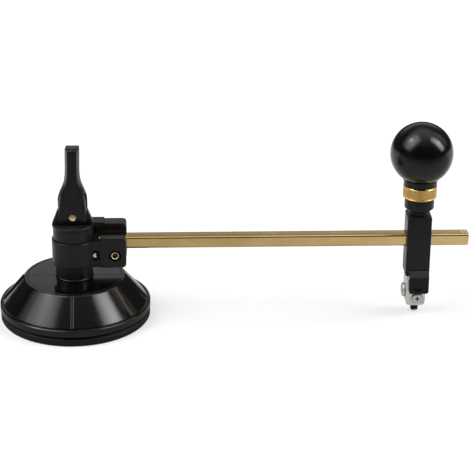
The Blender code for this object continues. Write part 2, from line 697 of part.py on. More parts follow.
def build_lever_pin(parts):
    tip = LEVER_THICKNESS / 2 - PIN_HEAD_SINK
    neck = tip - PIN_HEAD_THICKNESS
    profile = [
        (0, -tip),
        (PIN_HEAD_RADIUS, -tip),
        (PIN_HEAD_RADIUS, -neck),
        (PIN_RADIUS, -neck),
        (PIN_RADIUS, neck),
        (PIN_HEAD_RADIUS, neck),
        (PIN_HEAD_RADIUS, tip),
        (0, tip),
    ]
    pin = turned(profile, SMALL_FACETS)
    bmesh.ops.rotate(pin, verts=pin.verts, matrix=Matrix.Rotation(math.pi / 2, 3, "X"))
    parts.add("lever_pin", pin, "brass", "lever")


# Swivel collar: a ring with a taller rear ear and a lower front ear
def build_collar(parts):
    bottom = COLLAR_EDGE_ROUND
    profile = [(COLLAR_BORE, COLLAR_BASE)]
    profile += arc(COLLAR_RADIUS - bottom, COLLAR_BASE + bottom, bottom, -90, 0, 3)
    profile += arc(COLLAR_RADIUS - bottom, COLLAR_TOP - bottom, bottom, 0, 90, 3)
    profile.append((COLLAR_BORE, COLLAR_TOP))
    collar = parts.add("swivel_collar", turned(profile, LARGE_FACETS), "black_metal", "arm")
    ring_wall = (COLLAR_RADIUS + COLLAR_BORE) / 2
    web_low = (ring_wall, FRONT_FACE + WEB_STEP, COLLAR_BASE)
    web_high = (EAR_START + EAR_ROUND, REAR_FACE - REAR_EAR_THICKNESS / 2, COLLAR_TOP)
    combine(collar, block(web_low, web_high), POST_AXIS, "UNION")
    skirt_low = (WEB_START, FRONT_FACE + WEB_STEP, COLLAR_BASE)
    skirt_high = (EAR_START + EAR_ROUND, -COLLAR_BORE, COLLAR_TOP)
    combine(collar, block(skirt_low, skirt_high), POST_AXIS, "UNION")
    for height, near, far, start in (
        (FRONT_EAR_HEIGHT, FRONT_FACE, 0, EAR_START),
        (REAR_EAR_HEIGHT, 0, REAR_FACE, EAR_START),
    ):
        width = EAR_REACH - start
        outline = rounded_box(width, COLLAR_BASE, COLLAR_BASE + height, EAR_ROUND,
                              ("low_right", "high_right"))
        ear_place = Vector((start + width / 2, (near + far) / 2, 0))
        combine(collar, prism(outline, far - near), ear_place, "UNION")
    shoulder_low = (REAR_SHOULDER_START, SLIT_WIDTH / 2, COLLAR_BASE)
    shoulder_high = (REAR_SHOULDER_END, REAR_FACE,
                     COLLAR_BASE + REAR_EAR_HEIGHT + REAR_SHOULDER_RISE)
    combine(collar, block(shoulder_low, shoulder_high), POST_AXIS, "UNION")
    low = COLLAR_BASE - CUT_OVERRUN
    high = COLLAR_BASE + REAR_EAR_HEIGHT + CUT_OVERRUN
    slit_low = (SLIT_START, -SLIT_WIDTH / 2, low)
    slit_high = (EAR_REACH + CUT_OVERRUN, SLIT_WIDTH / 2, high)
    combine(collar, block(slit_low, slit_high), POST_AXIS)
    combine(collar, rod(COLLAR_BORE, low, high, facets=ROUND_FACETS), POST_AXIS)
    cap_room = LIP_RADIUS + GAP
    combine(collar, rod(cap_room, COLLAR_TOP, high, facets=LARGE_FACETS), POST_AXIS)
    cut_clamp_holes(collar)


def cut_clamp_holes(collar):
    axis = Vector((CLAMP_SCREW_X, 0, CLAMP_SCREW_HEIGHT))
    front = FRONT_FACE - CUT_OVERRUN
    rear = REAR_FACE + CUT_OVERRUN
    combine(collar, rod(CLAMP_SHANK_RADIUS + GAP, front, rear, "Y"), axis)
    combine(collar, rod(CLAMP_SEAT_RADIUS, front, FRONT_FACE + CLAMP_SEAT_DEPTH, "Y"), axis)
    pocket = REAR_FACE - CLAMP_NUT_THICKNESS - 2 * GAP
    combine(collar, rod(CLAMP_NUT_RADIUS + GAP, pocket, rear, "Y", facets=6), axis)
    web_face = FRONT_FACE + WEB_STEP
    recess = rounded_box(SET_RECESS_WIDTH, -SET_RECESS_HEIGHT / 2, SET_RECESS_HEIGHT / 2,
                         SET_RECESS_WIDTH / 2,
                         ("low_left", "low_right", "high_right", "high_left"))
    middle = web_face + (SET_RECESS_DEPTH - CUT_OVERRUN) / 2
    recess_place = Vector((SET_SCREW_X + SET_RECESS_SHIFT, middle, SET_SCREW_HEIGHT))
    combine(collar, prism(recess, SET_RECESS_DEPTH + CUT_OVERRUN), recess_place)
    screw_axis = Vector((SET_SCREW_X, 0, SET_SCREW_HEIGHT))
    hole_end = web_face + SET_RECESS_DEPTH / 2 + SET_SCREW_LENGTH + GAP
    combine(collar, rod(SET_SCREW_RADIUS + GAP, web_face, hole_end, "Y"), screw_axis)


def build_clamp_screw(parts):
    axis = Vector((CLAMP_SCREW_X, 0, CLAMP_SCREW_HEIGHT))
    face = FRONT_FACE + CLAMP_HEAD_SINK
    neck = face + CLAMP_HEAD_HEIGHT
    nut_face = REAR_FACE - GAP
    screw = parts.add("clamp_screw", rod(CLAMP_SHANK_RADIUS, face + CLAMP_SOCKET_DEPTH + GAP,
                                         nut_face, "Y"), "brass", "arm", axis)
    combine(screw, rod(CLAMP_HEAD_RADIUS, face, neck, "Y"), axis, "UNION")
    socket = rod(CLAMP_SOCKET_RADIUS, face - CUT_OVERRUN, face + CLAMP_SOCKET_DEPTH, "Y", 6)
    combine(screw, socket, axis)
    nut_start = nut_face - CLAMP_NUT_THICKNESS
    nut = parts.add("clamp_nut", rod(CLAMP_NUT_RADIUS, nut_start, nut_face, "Y", 6),
                    "steel", "arm", axis)
    hole = rod(CLAMP_SHANK_RADIUS + GAP, nut_start - CUT_OVERRUN, nut_face + CUT_OVERRUN, "Y")
    combine(nut, hole, axis)


def build_set_screw(parts):
    axis = Vector((SET_SCREW_X, 0, SET_SCREW_HEIGHT))
    face = FRONT_FACE + WEB_STEP + SET_RECESS_DEPTH / 2
    body = rod(SET_SCREW_RADIUS, face, face + SET_SCREW_LENGTH, "Y", SMALL_FACETS // 2)
    screw = parts.add("collar_set_screw", body, "steel", "arm", axis)
    reach = SET_SCREW_RADIUS + CUT_OVERRUN
    slot_low = (-SET_SCREW_SLOT / 2, face - CUT_OVERRUN, -reach)
    slot_high = (SET_SCREW_SLOT / 2, face + SET_SCREW_SLOT, reach)
    combine(screw, block(slot_low, slot_high), axis)


# Graduated bar
def build_bar(parts):
    body = bmesh.new()
    half = BAR_SIZE / 2
    flat = half - BAR_CHAMFER
    tip = half - BAR_END_CHAMFER
    for end, shoulder in ((BAR_START, BAR_START + BAR_END_CHAMFER),
                          (BAR_END, BAR_END - BAR_END_CHAMFER)):
        for side in (-1, 1):
            for rise in (-1, 1):
                body.verts.new((end, side * tip, BAR_HEIGHT + rise * tip))
                body.verts.new((shoulder, side * half, BAR_HEIGHT + rise * flat))
                body.verts.new((shoulder, side * flat, BAR_HEIGHT + rise * half))
    bmesh.ops.convex_hull(body, input=body.verts)
    parts.add("graduated_bar", body, "brass", "bar")


# Head block with the window for the bar and the shoe above it
def build_head_block(parts):
    half_width = BLOCK_WIDTH / 2
    half_depth = BLOCK_DEPTH / 2
    low = (-half_width, -half_depth, BLOCK_BOTTOM)
    high = (half_width, half_depth, BLOCK_TOP)
    body = parts.add("head_block", block(low, high), "black_metal", "head", HEAD_AXIS)
    bevel(body, BLOCK_CHAMFER)
    neck = rod(NECK_RADIUS, BLOCK_TOP - NECK_HEIGHT, NECK_TOP, facets=ROUND_FACETS)
    combine(body, neck, HEAD_AXIS, "UNION")
    reach = half_width + CUT_OVERRUN
    side = BAR_SIZE / 2 + GAP
    window_low = (-reach, -side, BAR_BOTTOM - GAP)
    window_high = (reach, side, BAR_TOP + GAP)
    combine(body, block(window_low, window_high), HEAD_AXIS)
    pocket_low = (-SHOE_LENGTH / 2 - GAP, -SHOE_WIDTH / 2 - GAP, BAR_TOP)
    pocket_high = (SHOE_LENGTH / 2 + GAP, SHOE_WIDTH / 2 + GAP, WINDOW_TOP)
    combine(body, block(pocket_low, pocket_high), HEAD_AXIS)
    combine(body, rod(SPINDLE_BORE, BAR_TOP, NECK_TOP + CUT_OVERRUN), HEAD_AXIS)
    spigot_hole = rod(CARRIER_SPIGOT_RADIUS + GAP, BLOCK_BOTTOM - CUT_OVERRUN,
                      CARRIER_TOP + CARRIER_SPIGOT_HEIGHT + GAP)
    combine(body, spigot_hole, HEAD_AXIS)


def build_ferrule(parts):
    profile = [
        (SPINDLE_BORE, FERRULE_BASE),
        (FERRULE_RADIUS - FERRULE_CHAMFER, FERRULE_BASE),
        (FERRULE_RADIUS, FERRULE_BASE + FERRULE_CHAMFER),
        (FERRULE_RADIUS, FERRULE_TOP),
        (SPINDLE_BORE, FERRULE_TOP),
    ]
    parts.add("lower_ferrule", turned(profile), "black_metal", "head", HEAD_AXIS)


# Knurled lock nut with a smooth bead at each end
def build_lock_nut(parts):
    bead_low = LOCK_NUT_BASE + LOCK_NUT_BEAD
    bead_high = LOCK_NUT_TOP - LOCK_NUT_BEAD
    root = LOCK_NUT_RADIUS - KNURL_DEPTH
    profile = [(SPINDLE_BORE, LOCK_NUT_BASE), (root, LOCK_NUT_BASE)]
    profile += arc(root, LOCK_NUT_BASE + KNURL_DEPTH, KNURL_DEPTH, -90, 0, 2)
    profile += [
        (LOCK_NUT_RADIUS, bead_low),
        (root, bead_low),
        (root, bead_high),
        (LOCK_NUT_RADIUS, bead_high),
    ]
    profile += arc(root, LOCK_NUT_TOP - KNURL_DEPTH, KNURL_DEPTH, 0, 90, 2)
    profile.append((SPINDLE_BORE, LOCK_NUT_TOP))
    distinct = [point for index, point in enumerate(profile) if point != profile[index - 1]]
    nut = parts.add("lock_nut", turned(distinct, ROUND_FACETS), "brass", "nut", HEAD_AXIS)
    outline = []
    for tooth in range(KNURL_TEETH):
        for radius, share in ((root - KNURL_DEPTH, 0), (LOCK_NUT_RADIUS, 0.5)):
            angle = math.tau * (tooth + share) / KNURL_TEETH
            outline.append((radius * math.cos(angle), radius * math.sin(angle)))
    band = prism(outline, bead_high - bead_low - GAP, "Z")
    middle = Vector((0, 0, (bead_low + bead_high) / 2))
    combine(nut, band, HEAD_AXIS + middle, "UNION")
    bore = rod(SPINDLE_BORE, LOCK_NUT_BASE - CUT_OVERRUN, LOCK_NUT_TOP + CUT_OVERRUN)
    combine(nut, bore, HEAD_AXIS)


# Ball knob, its insert, the stepped collar under it and the spindle
def build_knob(parts):
    collar = [
        (SPINDLE_BORE, NECK_COLLAR_BASE),
        (NECK_COLLAR_FOOT_RADIUS, NECK_COLLAR_BASE),
        (NECK_COLLAR_RADIUS, NECK_COLLAR_TOP),
        (SPINDLE_BORE, NECK_COLLAR_TOP),
    ]
    parts.add("neck_collar", turned(collar), "black_metal", "knob", HEAD_AXIS)
    seat = math.degrees(math.asin((BALL_BASE - BALL_CENTRE) / BALL_RADIUS))
    ball = [(BALL_BORE, BALL_BASE)]
    ball += arc(0, BALL_CENTRE, BALL_RADIUS, seat, 90, BALL_STEPS)
    ball[-1] = (0, BALL_CENTRE + BALL_RADIUS)
    ball += [(0, BALL_BORE_TOP), (BALL_BORE, BALL_BORE_TOP)]
    parts.add("knob_ball", turned(ball), "gloss_black", "knob", HEAD_AXIS)
    insert = [
        (SPINDLE_BORE, BALL_BASE),
        (INSERT_RADIUS, BALL_BASE),
        (INSERT_RADIUS, INSERT_TOP),
        (SPINDLE_BORE, INSERT_TOP),
    ]
    parts.add("knob_insert", turned(insert, SMALL_FACETS), "brass", "knob", HEAD_AXIS)
    spindle = rod(SPINDLE_RADIUS, SPINDLE_FOOT, SPINDLE_TOP)
    parts.add("knob_spindle", spindle, "steel", "knob", HEAD_AXIS)


def build_shoe(parts):
    low = (-SHOE_LENGTH / 2, -SHOE_WIDTH / 2, SHOE_BASE)
    high = (SHOE_LENGTH / 2, SHOE_WIDTH / 2, SHOE_TOP)
    parts.add("clamp_shoe", block(low, high), "brass", "shoe", HEAD_AXIS)


# Foot plate that ties the block to the carrier, and its screw
def build_foot_plate(parts):
    middle = Vector((CUTTING_RADIUS + FOOT_PLATE_SHIFT, 0, 0))
    outline = rounded_box(FOOT_PLATE_WIDTH, FOOT_PLATE_BOTTOM, FOOT_PLATE_TOP, FOOT_PLATE_ROUND,
                          ("low_left", "low_right"))
    place = middle + Vector((0, (FOOT_PLATE_BACK + FOOT_PLATE_FRONT) / 2, 0))
    plate = parts.add("foot_plate", prism(outline, FOOT_PLATE_THICKNESS), "black_metal",
                      "head", place)
    reach = FOOT_PLATE_WIDTH + CUT_OVERRUN
    run = FOOT_PLATE_SLOPE / FOOT_PLATE_THICKNESS
    over = FOOT_PLATE_FRONT - CUT_OVERRUN
    wedge = [
        (FOOT_PLATE_BACK - GAP, FOOT_PLATE_TOP),
        (over, FOOT_PLATE_TOP - FOOT_PLATE_SLOPE - CUT_OVERRUN * run),
        (over, FOOT_PLATE_TOP + CUT_OVERRUN),
        (FOOT_PLATE_BACK - GAP, FOOT_PLATE_TOP + CUT_OVERRUN),
    ]
    combine(plate, prism(wedge, reach, "X"), middle)
    axis = middle + Vector((-FOOT_PLATE_SHIFT + FRONT_SCREW_SHIFT, 0,
                            FOOT_PLATE_BOTTOM + PLATE_SCREW_RISE))
    seat = FOOT_PLATE_FRONT + PLATE_SCREW_SINK + PLATE_SCREW_HEAD + GAP
    front = FOOT_PLATE_FRONT - CUT_OVERRUN
    combine(plate, rod(PLATE_SCREW_HEAD_RADIUS + GAP, front, seat, "Y"), axis)
    back = FOOT_PLATE_BACK + CUT_OVERRUN
    combine(plate, rod(PLATE_SCREW_RADIUS + GAP, front, back, "Y"), axis)
    head = FOOT_PLATE_FRONT + PLATE_SCREW_SINK
    tip = CARRIER_FRONT + PLATE_SCREW_BITE
    screw = parts.add("plate_screw", rod(PLATE_SCREW_RADIUS, head, tip, "Y"), "steel",
                      "head", axis)
    combine(screw, rod(PLATE_SCREW_HEAD_RADIUS, head, head + PLATE_SCREW_HEAD, "Y"), axis,
            "UNION")
    return axis


# Steel wheel carrier and the two screws in it
def build_carrier(parts, plate_screw_axis):
    middle = Vector((CUTTING_RADIUS + CARRIER_SHIFT, 0, 0))
    outline = rounded_box(CARRIER_WIDTH, CARRIER_BOTTOM, CARRIER_TOP, CARRIER_ROUND,
                          ("low_left", "low_right"))
    carrier = parts.add("wheel_carrier", prism(outline, BLOCK_DEPTH), "steel", "head", middle)
    spigot = rod(CARRIER_SPIGOT_RADIUS, CARRIER_TOP - CARRIER_SPIGOT_HEIGHT / 2,
                 CARRIER_TOP + CARRIER_SPIGOT_HEIGHT)
    combine(carrier, spigot, HEAD_AXIS, "UNION")
    combine(carrier, rod(HOLDER_BORE, CARRIER_BOTTOM - CUT_OVERRUN, HOLDER_TOP + GAP), HEAD_AXIS)
    front = CARRIER_FRONT - CUT_OVERRUN
    front_axis = Vector((CUTTING_RADIUS + FRONT_SCREW_SHIFT, 0, FRONT_SCREW_HEIGHT))
    combine(carrier, rod(FRONT_SCREW_RADIUS + GAP, front, -HOLDER_RADIUS, "Y"), front_axis)
    side_axis = Vector((0, 0, SIDE_SCREW_HEIGHT))
    left = middle.x - CARRIER_WIDTH / 2
    right = CUTTING_RADIUS - HOLDER_RADIUS
    hole = rod(SIDE_SCREW_RADIUS + GAP, left - CUT_OVERRUN, right, "X")
    combine(carrier, hole, side_axis)
    bite = CARRIER_FRONT + PLATE_SCREW_BITE + GAP
    combine(carrier, rod(PLATE_SCREW_RADIUS + GAP, front, bite, "Y"), plate_screw_axis)
    oil = Vector((left + OIL_HOLE_INSET, 0, CARRIER_TOP - OIL_HOLE_DROP))
    combine(carrier, rod(OIL_HOLE_RADIUS, front, CARRIER_FRONT + OIL_HOLE_DEPTH, "Y",
                         SMALL_FACETS // 2), oil)
    build_front_screw(parts, front_axis)
    build_side_screw(parts, side_axis, left)


def build_front_screw(parts, axis):
    under = CARRIER_FRONT - GAP
    face = under - FRONT_SCREW_HEAD
    tip = -HOLDER_BORE
    screw = parts.add("carrier_front_screw", rod(FRONT_SCREW_RADIUS, under - FRONT_SCREW_HEAD / 2,
                                                 tip, "Y"), "steel", "head", axis)
    combine(screw, rod(FRONT_SCREW_HEAD_RADIUS, face, under, "Y"), axis, "UNION")
    long_side = CROSS_LENGTH / 2
    short_side = CROSS_WIDTH / 2
    for across, up in ((long_side, short_side), (short_side, long_side)):
        arm_low = (-across, face - CUT_OVERRUN, -up)
        arm_high = (across, face + CROSS_DEPTH, up)
        combine(screw, block(arm_low, arm_high), axis)


def build_side_screw(parts, axis, left):
    under = left - GAP
    face = under - SIDE_SCREW_HEAD
    tip = CUTTING_RADIUS - HOLDER_BORE
    screw = parts.add("carrier_side_screw", rod(SIDE_SCREW_RADIUS, under - SIDE_SCREW_HEAD / 2,
                                                tip, "X"), "steel", "head", axis)
    combine(screw, rod(SIDE_SCREW_HEAD_RADIUS, face, under, "X"), axis, "UNION")
    reach = SIDE_SCREW_HEAD_RADIUS + CUT_OVERRUN
    slot_low = (face - CUT_OVERRUN, -SIDE_SLOT_WIDTH / 2, -reach)
    slot_high = (face + SIDE_SLOT_DEPTH, SIDE_SLOT_WIDTH / 2, reach)
    combine(screw, block(slot_low, slot_high), axis)


# Wheel holder, axle and cutting wheel
def build_wheel(parts):
    nose = HOLDER_RADIUS / 2
    profile = [(0, HOLDER_BOTTOM)]
    profile += arc(HOLDER_RADIUS - nose, HOLDER_BOTTOM + nose, nose, -90, 0)
    profile += [(HOLDER_RADIUS, HOLDER_TOP), (0, HOLDER_TOP)]
    holder = parts.add("wheel_holder", turned(profile, SMALL_FACETS), "black_metal", "head",
                       HEAD_AXIS)
    reach = HOLDER_RADIUS + CUT_OVERRUN
    slot_low = (-WHEEL_SLOT / 2, -reach, HOLDER_BOTTOM - CUT_OVERRUN)
    slot_high = (WHEEL_SLOT / 2, reach, 2 * WHEEL_RADIUS + GAP)
    combine(holder, block(slot_low, slot_high), HEAD_AXIS)
    combine(holder, rod(AXLE_RADIUS + AXLE_GAP, -reach, reach, "X", SMALL_FACETS // 2),
            WHEEL_AXIS)
    half_axle = HOLDER_RADIUS - GAP
    parts.add("wheel_axle", rod(AXLE_RADIUS, -half_axle, half_axle, "X", SMALL_FACETS // 2),
              "steel", "head", WHEEL_AXIS)
    bore = AXLE_RADIUS + AXLE_GAP
    face = WHEEL_THICKNESS / 2
    edge = WHEEL_EDGE_THICKNESS / 2
    land = WHEEL_RADIUS - (face - edge)
    section = [
        (bore, -face),
        (land, -face),
        (WHEEL_RADIUS, -edge),
        (WHEEL_RADIUS, edge),
        (land, face),
        (bore, face),
    ]
    wheel = turned(section, ROUND_FACETS)
    bmesh.ops.rotate(wheel, verts=wheel.verts, matrix=Matrix.Rotation(math.pi / 2, 3, "Y"))
    parts.add("cutting_wheel", wheel, "steel", "wheel", WHEEL_AXIS)


class Parts:
    """Adds each piece to the pivot of the moving group that carries it."""

    def __init__(self):
        self.materials = {
            "rubber": make_material("rubber", (0.012, 0.012, 0.013), 0.55),
            "black_plastic": make_material("black_plastic", (0.012, 0.012, 0.014), 0.25),
            "black_metal": make_material("black_metal", (0.014, 0.014, 0.016), 0.35),
            "gloss_black": make_material("gloss_black", (0.006, 0.006, 0.007), 0.06),
            "brass": make_material("brass", (0.72, 0.52, 0.27), 0.28, 1),
            "steel": make_material("steel", (0.58, 0.56, 0.53), 0.32, 1),
        }
        base = add_pivot("base_group", POST_AXIS)
        arm = add_pivot("arm_pivot", POST_AXIS, base)
        stem = add_pivot("stem_slide", POST_AXIS, base)
        bar = add_pivot("bar_slide", POST_AXIS, arm)
        head = add_pivot("head_slide", HEAD_AXIS, bar)
        shoe = add_pivot("shoe_slide", HEAD_AXIS, head, HEAD_AXIS)
        self.pivots = {
            "base": (base, POST_AXIS),
            "arm": (arm, POST_AXIS),
            "bar": (bar, POST_AXIS),
            "stem": (stem, POST_AXIS),
            "lever": (add_pivot("lever_pivot", PIN_AXIS, stem), PIN_AXIS),
            "head": (head, HEAD_AXIS),
            "shoe": (shoe, HEAD_AXIS),
            "knob": (add_pivot("knob_pivot", HEAD_AXIS, shoe, HEAD_AXIS), HEAD_AXIS),
            "nut": (add_pivot("nut_pivot", HEAD_AXIS, head, HEAD_AXIS), HEAD_AXIS),
            "wheel": (add_pivot("wheel_pivot", WHEEL_AXIS, head, HEAD_AXIS), WHEEL_AXIS),
        }

    def add(self, name, mesh_source, material, group, origin=None):
        pivot, place = self.pivots[group]
        spot = place if origin is None else origin
        return add_object(name, mesh_source, self.materials[material], pivot, place, spot)

    def adopt(self, name, data, material, group):
        data.materials.append(self.materials[material])
        item = bpy.data.objects.new(name, data)
        item.parent = self.pivots[group][0]
        bpy.context.collection.objects.link(item)


def main():
    clear_scene()
    parts = Parts()
    build_cup(parts)
    build_anchor(parts)
    build_stem(parts)
    build_spring(parts)
    build_shell(parts)
    build_post(parts)
    build_cap(parts)
    build_lever(parts)
    build_lever_pin(parts)
    build_collar(parts)
    build_clamp_screw(parts)
    build_set_screw(parts)
    build_bar(parts)
    build_head_block(parts)
    build_ferrule(parts)
    build_lock_nut(parts)
    build_knob(parts)
    build_shoe(parts)
    plate_screw_axis = build_foot_plate(parts)
    build_carrier(parts, plate_screw_axis)
    build_wheel(parts)


main()
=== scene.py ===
"""Circle glass cutter on a white studio floor. Lengths in the outlines are millimetres."""

import math

import bmesh
import bpy
from mathutils import Matrix, Vector


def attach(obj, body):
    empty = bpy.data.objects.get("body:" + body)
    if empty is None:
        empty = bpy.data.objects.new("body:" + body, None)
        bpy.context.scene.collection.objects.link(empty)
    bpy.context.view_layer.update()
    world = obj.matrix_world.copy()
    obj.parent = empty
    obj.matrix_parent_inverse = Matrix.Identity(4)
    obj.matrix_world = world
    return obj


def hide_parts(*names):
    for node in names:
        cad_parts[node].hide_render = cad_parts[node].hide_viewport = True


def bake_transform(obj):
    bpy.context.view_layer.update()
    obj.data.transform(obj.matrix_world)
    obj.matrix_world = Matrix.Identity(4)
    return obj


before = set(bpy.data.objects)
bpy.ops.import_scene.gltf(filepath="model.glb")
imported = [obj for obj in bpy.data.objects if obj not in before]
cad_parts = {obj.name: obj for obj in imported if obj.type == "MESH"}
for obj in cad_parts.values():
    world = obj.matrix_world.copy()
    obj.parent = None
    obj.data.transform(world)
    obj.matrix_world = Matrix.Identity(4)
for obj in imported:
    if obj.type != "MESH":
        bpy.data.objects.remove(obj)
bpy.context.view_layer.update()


# The suction cup is a thick disc of black rubber, moulded in one piece. Its flat face
# grips the glass, and a steel anchor moulded into its middle lets the stem pull it up.
MM = 0.001


class Wire:
    """One output in a node tree. Sums that are written with it become Math nodes."""

    def __init__(self, builder, socket):
        self.builder = builder
        self.socket = socket

    def reckon(self, operation, *terms):
        return self.builder.node("ShaderNodeMath", {"operation": operation},
                                 dict(enumerate(terms)))

    def __add__(self, other):
        return self.reckon("ADD", self, other)

    def __sub__(self, other):
        return self.reckon("SUBTRACT", self, other)

    def __rsub__(self, other):
        return self.reckon("SUBTRACT", other, self)

    def __mul__(self, other):
        return self.reckon("MULTIPLY", self, other)

    def __truediv__(self, other):
        return self.reckon("DIVIDE", self, other)

    def __rtruediv__(self, other):
        return self.reckon("DIVIDE", other, self)

    def __abs__(self):
        return self.reckon("ABSOLUTE", self)

    __radd__ = __add__
    __rmul__ = __mul__


class Builder:
    """Builds a node tree step by step."""

    def __init__(self, tree):
        self.tree = tree

    def join(self, socket, value):
        if isinstance(value, Wire):
            self.tree.links.new(value.socket, socket)
        else:
            socket.default_value = value

    def node(self, kind, settings=None, sockets=None, out=0):
        """One of a node's outputs. Its settings come first, then its sockets' values or links."""
        item = self.tree.nodes.new(kind)
        for key, value in (settings or {}).items():
            setattr(item, key, value)
        for key, value in (sockets or {}).items():
            self.join(item.inputs[key], value)
        return Wire(self, item.outputs[out])

    def fit(self, value, low, high, to_low=0.0, to_high=1.0):
        """Where the value stands between low and high, as a share or in another range."""
        return self.node("ShaderNodeMapRange", {"clamp": True}, {
            0: value, 1: low, 2: high, 3: to_low, 4: to_high})


class Finish(Builder):
    """A finish for some of the pieces: even values on its shader, and nodes for what varies."""

    def __init__(self, name, colour, roughness, metallic=0.0, **even):
        self.material = bpy.data.materials.new(name)
        self.material.use_nodes = True
        super().__init__(self.material.node_tree)
        self.shader = self.tree.nodes["Principled BSDF"]
        even = {"Base Color": (*colour, 1), "Roughness": roughness, "Metallic": metallic, **even}
        for socket, value in even.items():
            self.shader.inputs[socket.replace("_", " ")].default_value = value
        self.height = None

    def place(self, stretch=(1, 1, 1), centre=(0, 0, 0)):
        """Object coordinates, stretched and moved so that a pattern fits its piece."""
        spot = self.node("ShaderNodeTexCoord", out="Object")
        shift = [-at * by for at, by in zip(centre, stretch)]
        return self.node("ShaderNodeMapping", None, {0: spot, "Location": shift, "Scale": stretch})

    def along(self, axis):
        """One of the object coordinates: how far along X, Y or Z the surface is, in metres."""
        spot = self.node("ShaderNodeTexCoord", out="Object")
        return self.node("ShaderNodeSeparateXYZ", None, {0: spot}, out="XYZ".index(axis))

    def grain(self, size, detail=3, stretch=(1, 1, 1), rough=0.55):
        """Noise whose features are about `size` millimetres across, between 0 and 1."""
        return self.node("ShaderNodeTexNoise", None, {
            "Vector": self.place(stretch), "Scale": 1 / (size * MM), "Detail": detail,
            "Roughness": rough})

    def tint(self, factor, first, second):
        """A colour between two others."""
        return self.node("ShaderNodeMix", {"data_type": "RGBA"}, {
            0: factor, 6: first if isinstance(first, Wire) else (*first, 1),
            7: second if isinstance(second, Wire) else (*second, 1)}, out=2)

    def relief(self, height, depth):
        """Adds to the surface's relief, which is `depth` millimetres from lowest to highest."""
        step = height * (depth * MM)
        self.height = step if self.height is None else self.height + step

    def done(self, colour, roughness=None):
        """Feeds what varies to the shader, and gives the finished material."""
        self.join(self.shader.inputs["Base Color"], colour)
        if roughness is not None:
            self.join(self.shader.inputs["Roughness"], roughness)
        if self.height is not None:
            self.join(self.shader.inputs["Normal"], self.node("ShaderNodeBump", None, {
                "Strength": 1.0, "Distance": 1.0, "Height": self.height}))
        return self.material

    def worn(self, pattern, low, high, first, second, glossy, dull):
        """A finished material whose colour and roughness both follow one pattern."""
        return self.done(self.tint(self.fit(pattern, low, high), first, second),
                         self.fit(pattern, 0.3, 0.7, glossy, dull))


def eased(outline, steps=5):
    """The outline's points, with each corner rounded whose third number is a radius."""
    most = 0.48
    points = []
    for index, corner in enumerate(outline):
        spot = Vector(corner[:2])
        if len(corner) < 3 or not corner[2]:
            points.append(spot)
            continue
        before = Vector(outline[index - 1][:2]) - spot
        after = Vector(outline[(index + 1) % len(outline)][:2]) - spot
        reach = corner[2] / math.tan(before.angle(after) / 2)
        reach = min(reach, most * before.length, most * after.length)
        start = spot + before.normalized() * reach
        end = spot + after.normalized() * reach
        for step in range(steps + 1):
            share = step / steps
            points.append(start * (1 - share) ** 2 + spot * 2 * share * (1 - share)
                          + end * share ** 2)
    return points


def empty_piece(name):
    piece = bpy.data.objects.new(name, bpy.data.meshes.new(name))
    bpy.context.collection.objects.link(piece)
    return piece


def shaded(piece, sharp=32):
    """Shades a piece smooth, but for edges that turn by more than an angle in degrees."""
    piece.data.shade_smooth()
    piece.data.set_sharp_from_angle(angle=math.radians(sharp))
    return piece


def piece_from(name, mesh, material=None, sharp=32):
    """An object at the origin whose mesh, given in millimetres, is shaded smooth."""
    bmesh.ops.transform(mesh, matrix=Matrix.Scale(MM, 4), verts=mesh.verts)
    piece = empty_piece(name)
    mesh.to_mesh(piece.data)
    mesh.free()
    if material:
        piece.data.materials.append(material)
    return shaded(piece, sharp)


def turned_mesh(outline, facets=120, centre=(0, 0, 0), axis="Z"):
    """A solid of revolution from an outline of (radius, height, corner radius)."""
    mesh = bmesh.new()
    rings = []
    for radius, height in eased(outline):
        turns = [math.tau * step / facets for step in range(facets)] if radius > 1e-6 else [0]
        rings.append([mesh.verts.new((radius * math.cos(turn), radius * math.sin(turn), height))
                      for turn in turns])
    for lower, upper in zip(rings, rings[1:] + rings[:1]):
        for step in range(facets):
            corners = [lower[step % len(lower)], lower[(step + 1) % len(lower)],
                       upper[(step + 1) % len(upper)], upper[step % len(upper)]]
            corners = list(dict.fromkeys(corners))
            if len(corners) > 2:
                mesh.faces.new(corners)
    bmesh.ops.recalc_face_normals(mesh, faces=mesh.faces)
    tips = {"Z": Matrix.Identity(4), "X": Matrix.Rotation(math.pi / 2, 4, "Y"),
            "Y": Matrix.Rotation(-math.pi / 2, 4, "X")}
    matrix = Matrix.Translation(centre) @ tips[axis]
    bmesh.ops.transform(mesh, matrix=matrix, verts=mesh.verts)
    return mesh


def turned(name, outline, material, facets=120, centre=(0, 0, 0), axis="Z", sharp=32):
    return piece_from(name, turned_mesh(outline, facets, centre, axis), material, sharp)


def stand_for(piece, body, *cad_nodes, slot=None, stretch=None):
    """The piece rides on a body, in place of nodes of the frame. Given a stretch instead, it is
    only fixed where it stands and rides on no body; the stretch's other body and two heights in
    millimetres do nothing."""
    if stretch:
        other, low, high = stretch
        low * MM
        high * MM
        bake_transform(piece)
    else:
        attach(piece, body)
    if cad_nodes:
        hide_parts(*cad_nodes)
    return piece


rubber = Finish("cup_rubber", (0.008, 0.008, 0.0085), 0.5, Specular_IOR_Level=0.2)
rubber.relief(rubber.grain(0.35, 2), 0.02)
rubber.relief(rubber.grain(2.5, 2), 0.03)
rubber_look = rubber.worn(rubber.grain(9, 4), 0.45, 0.75, (0.007, 0.007, 0.0075),
                          (0.016, 0.016, 0.016), 0.42, 0.62)

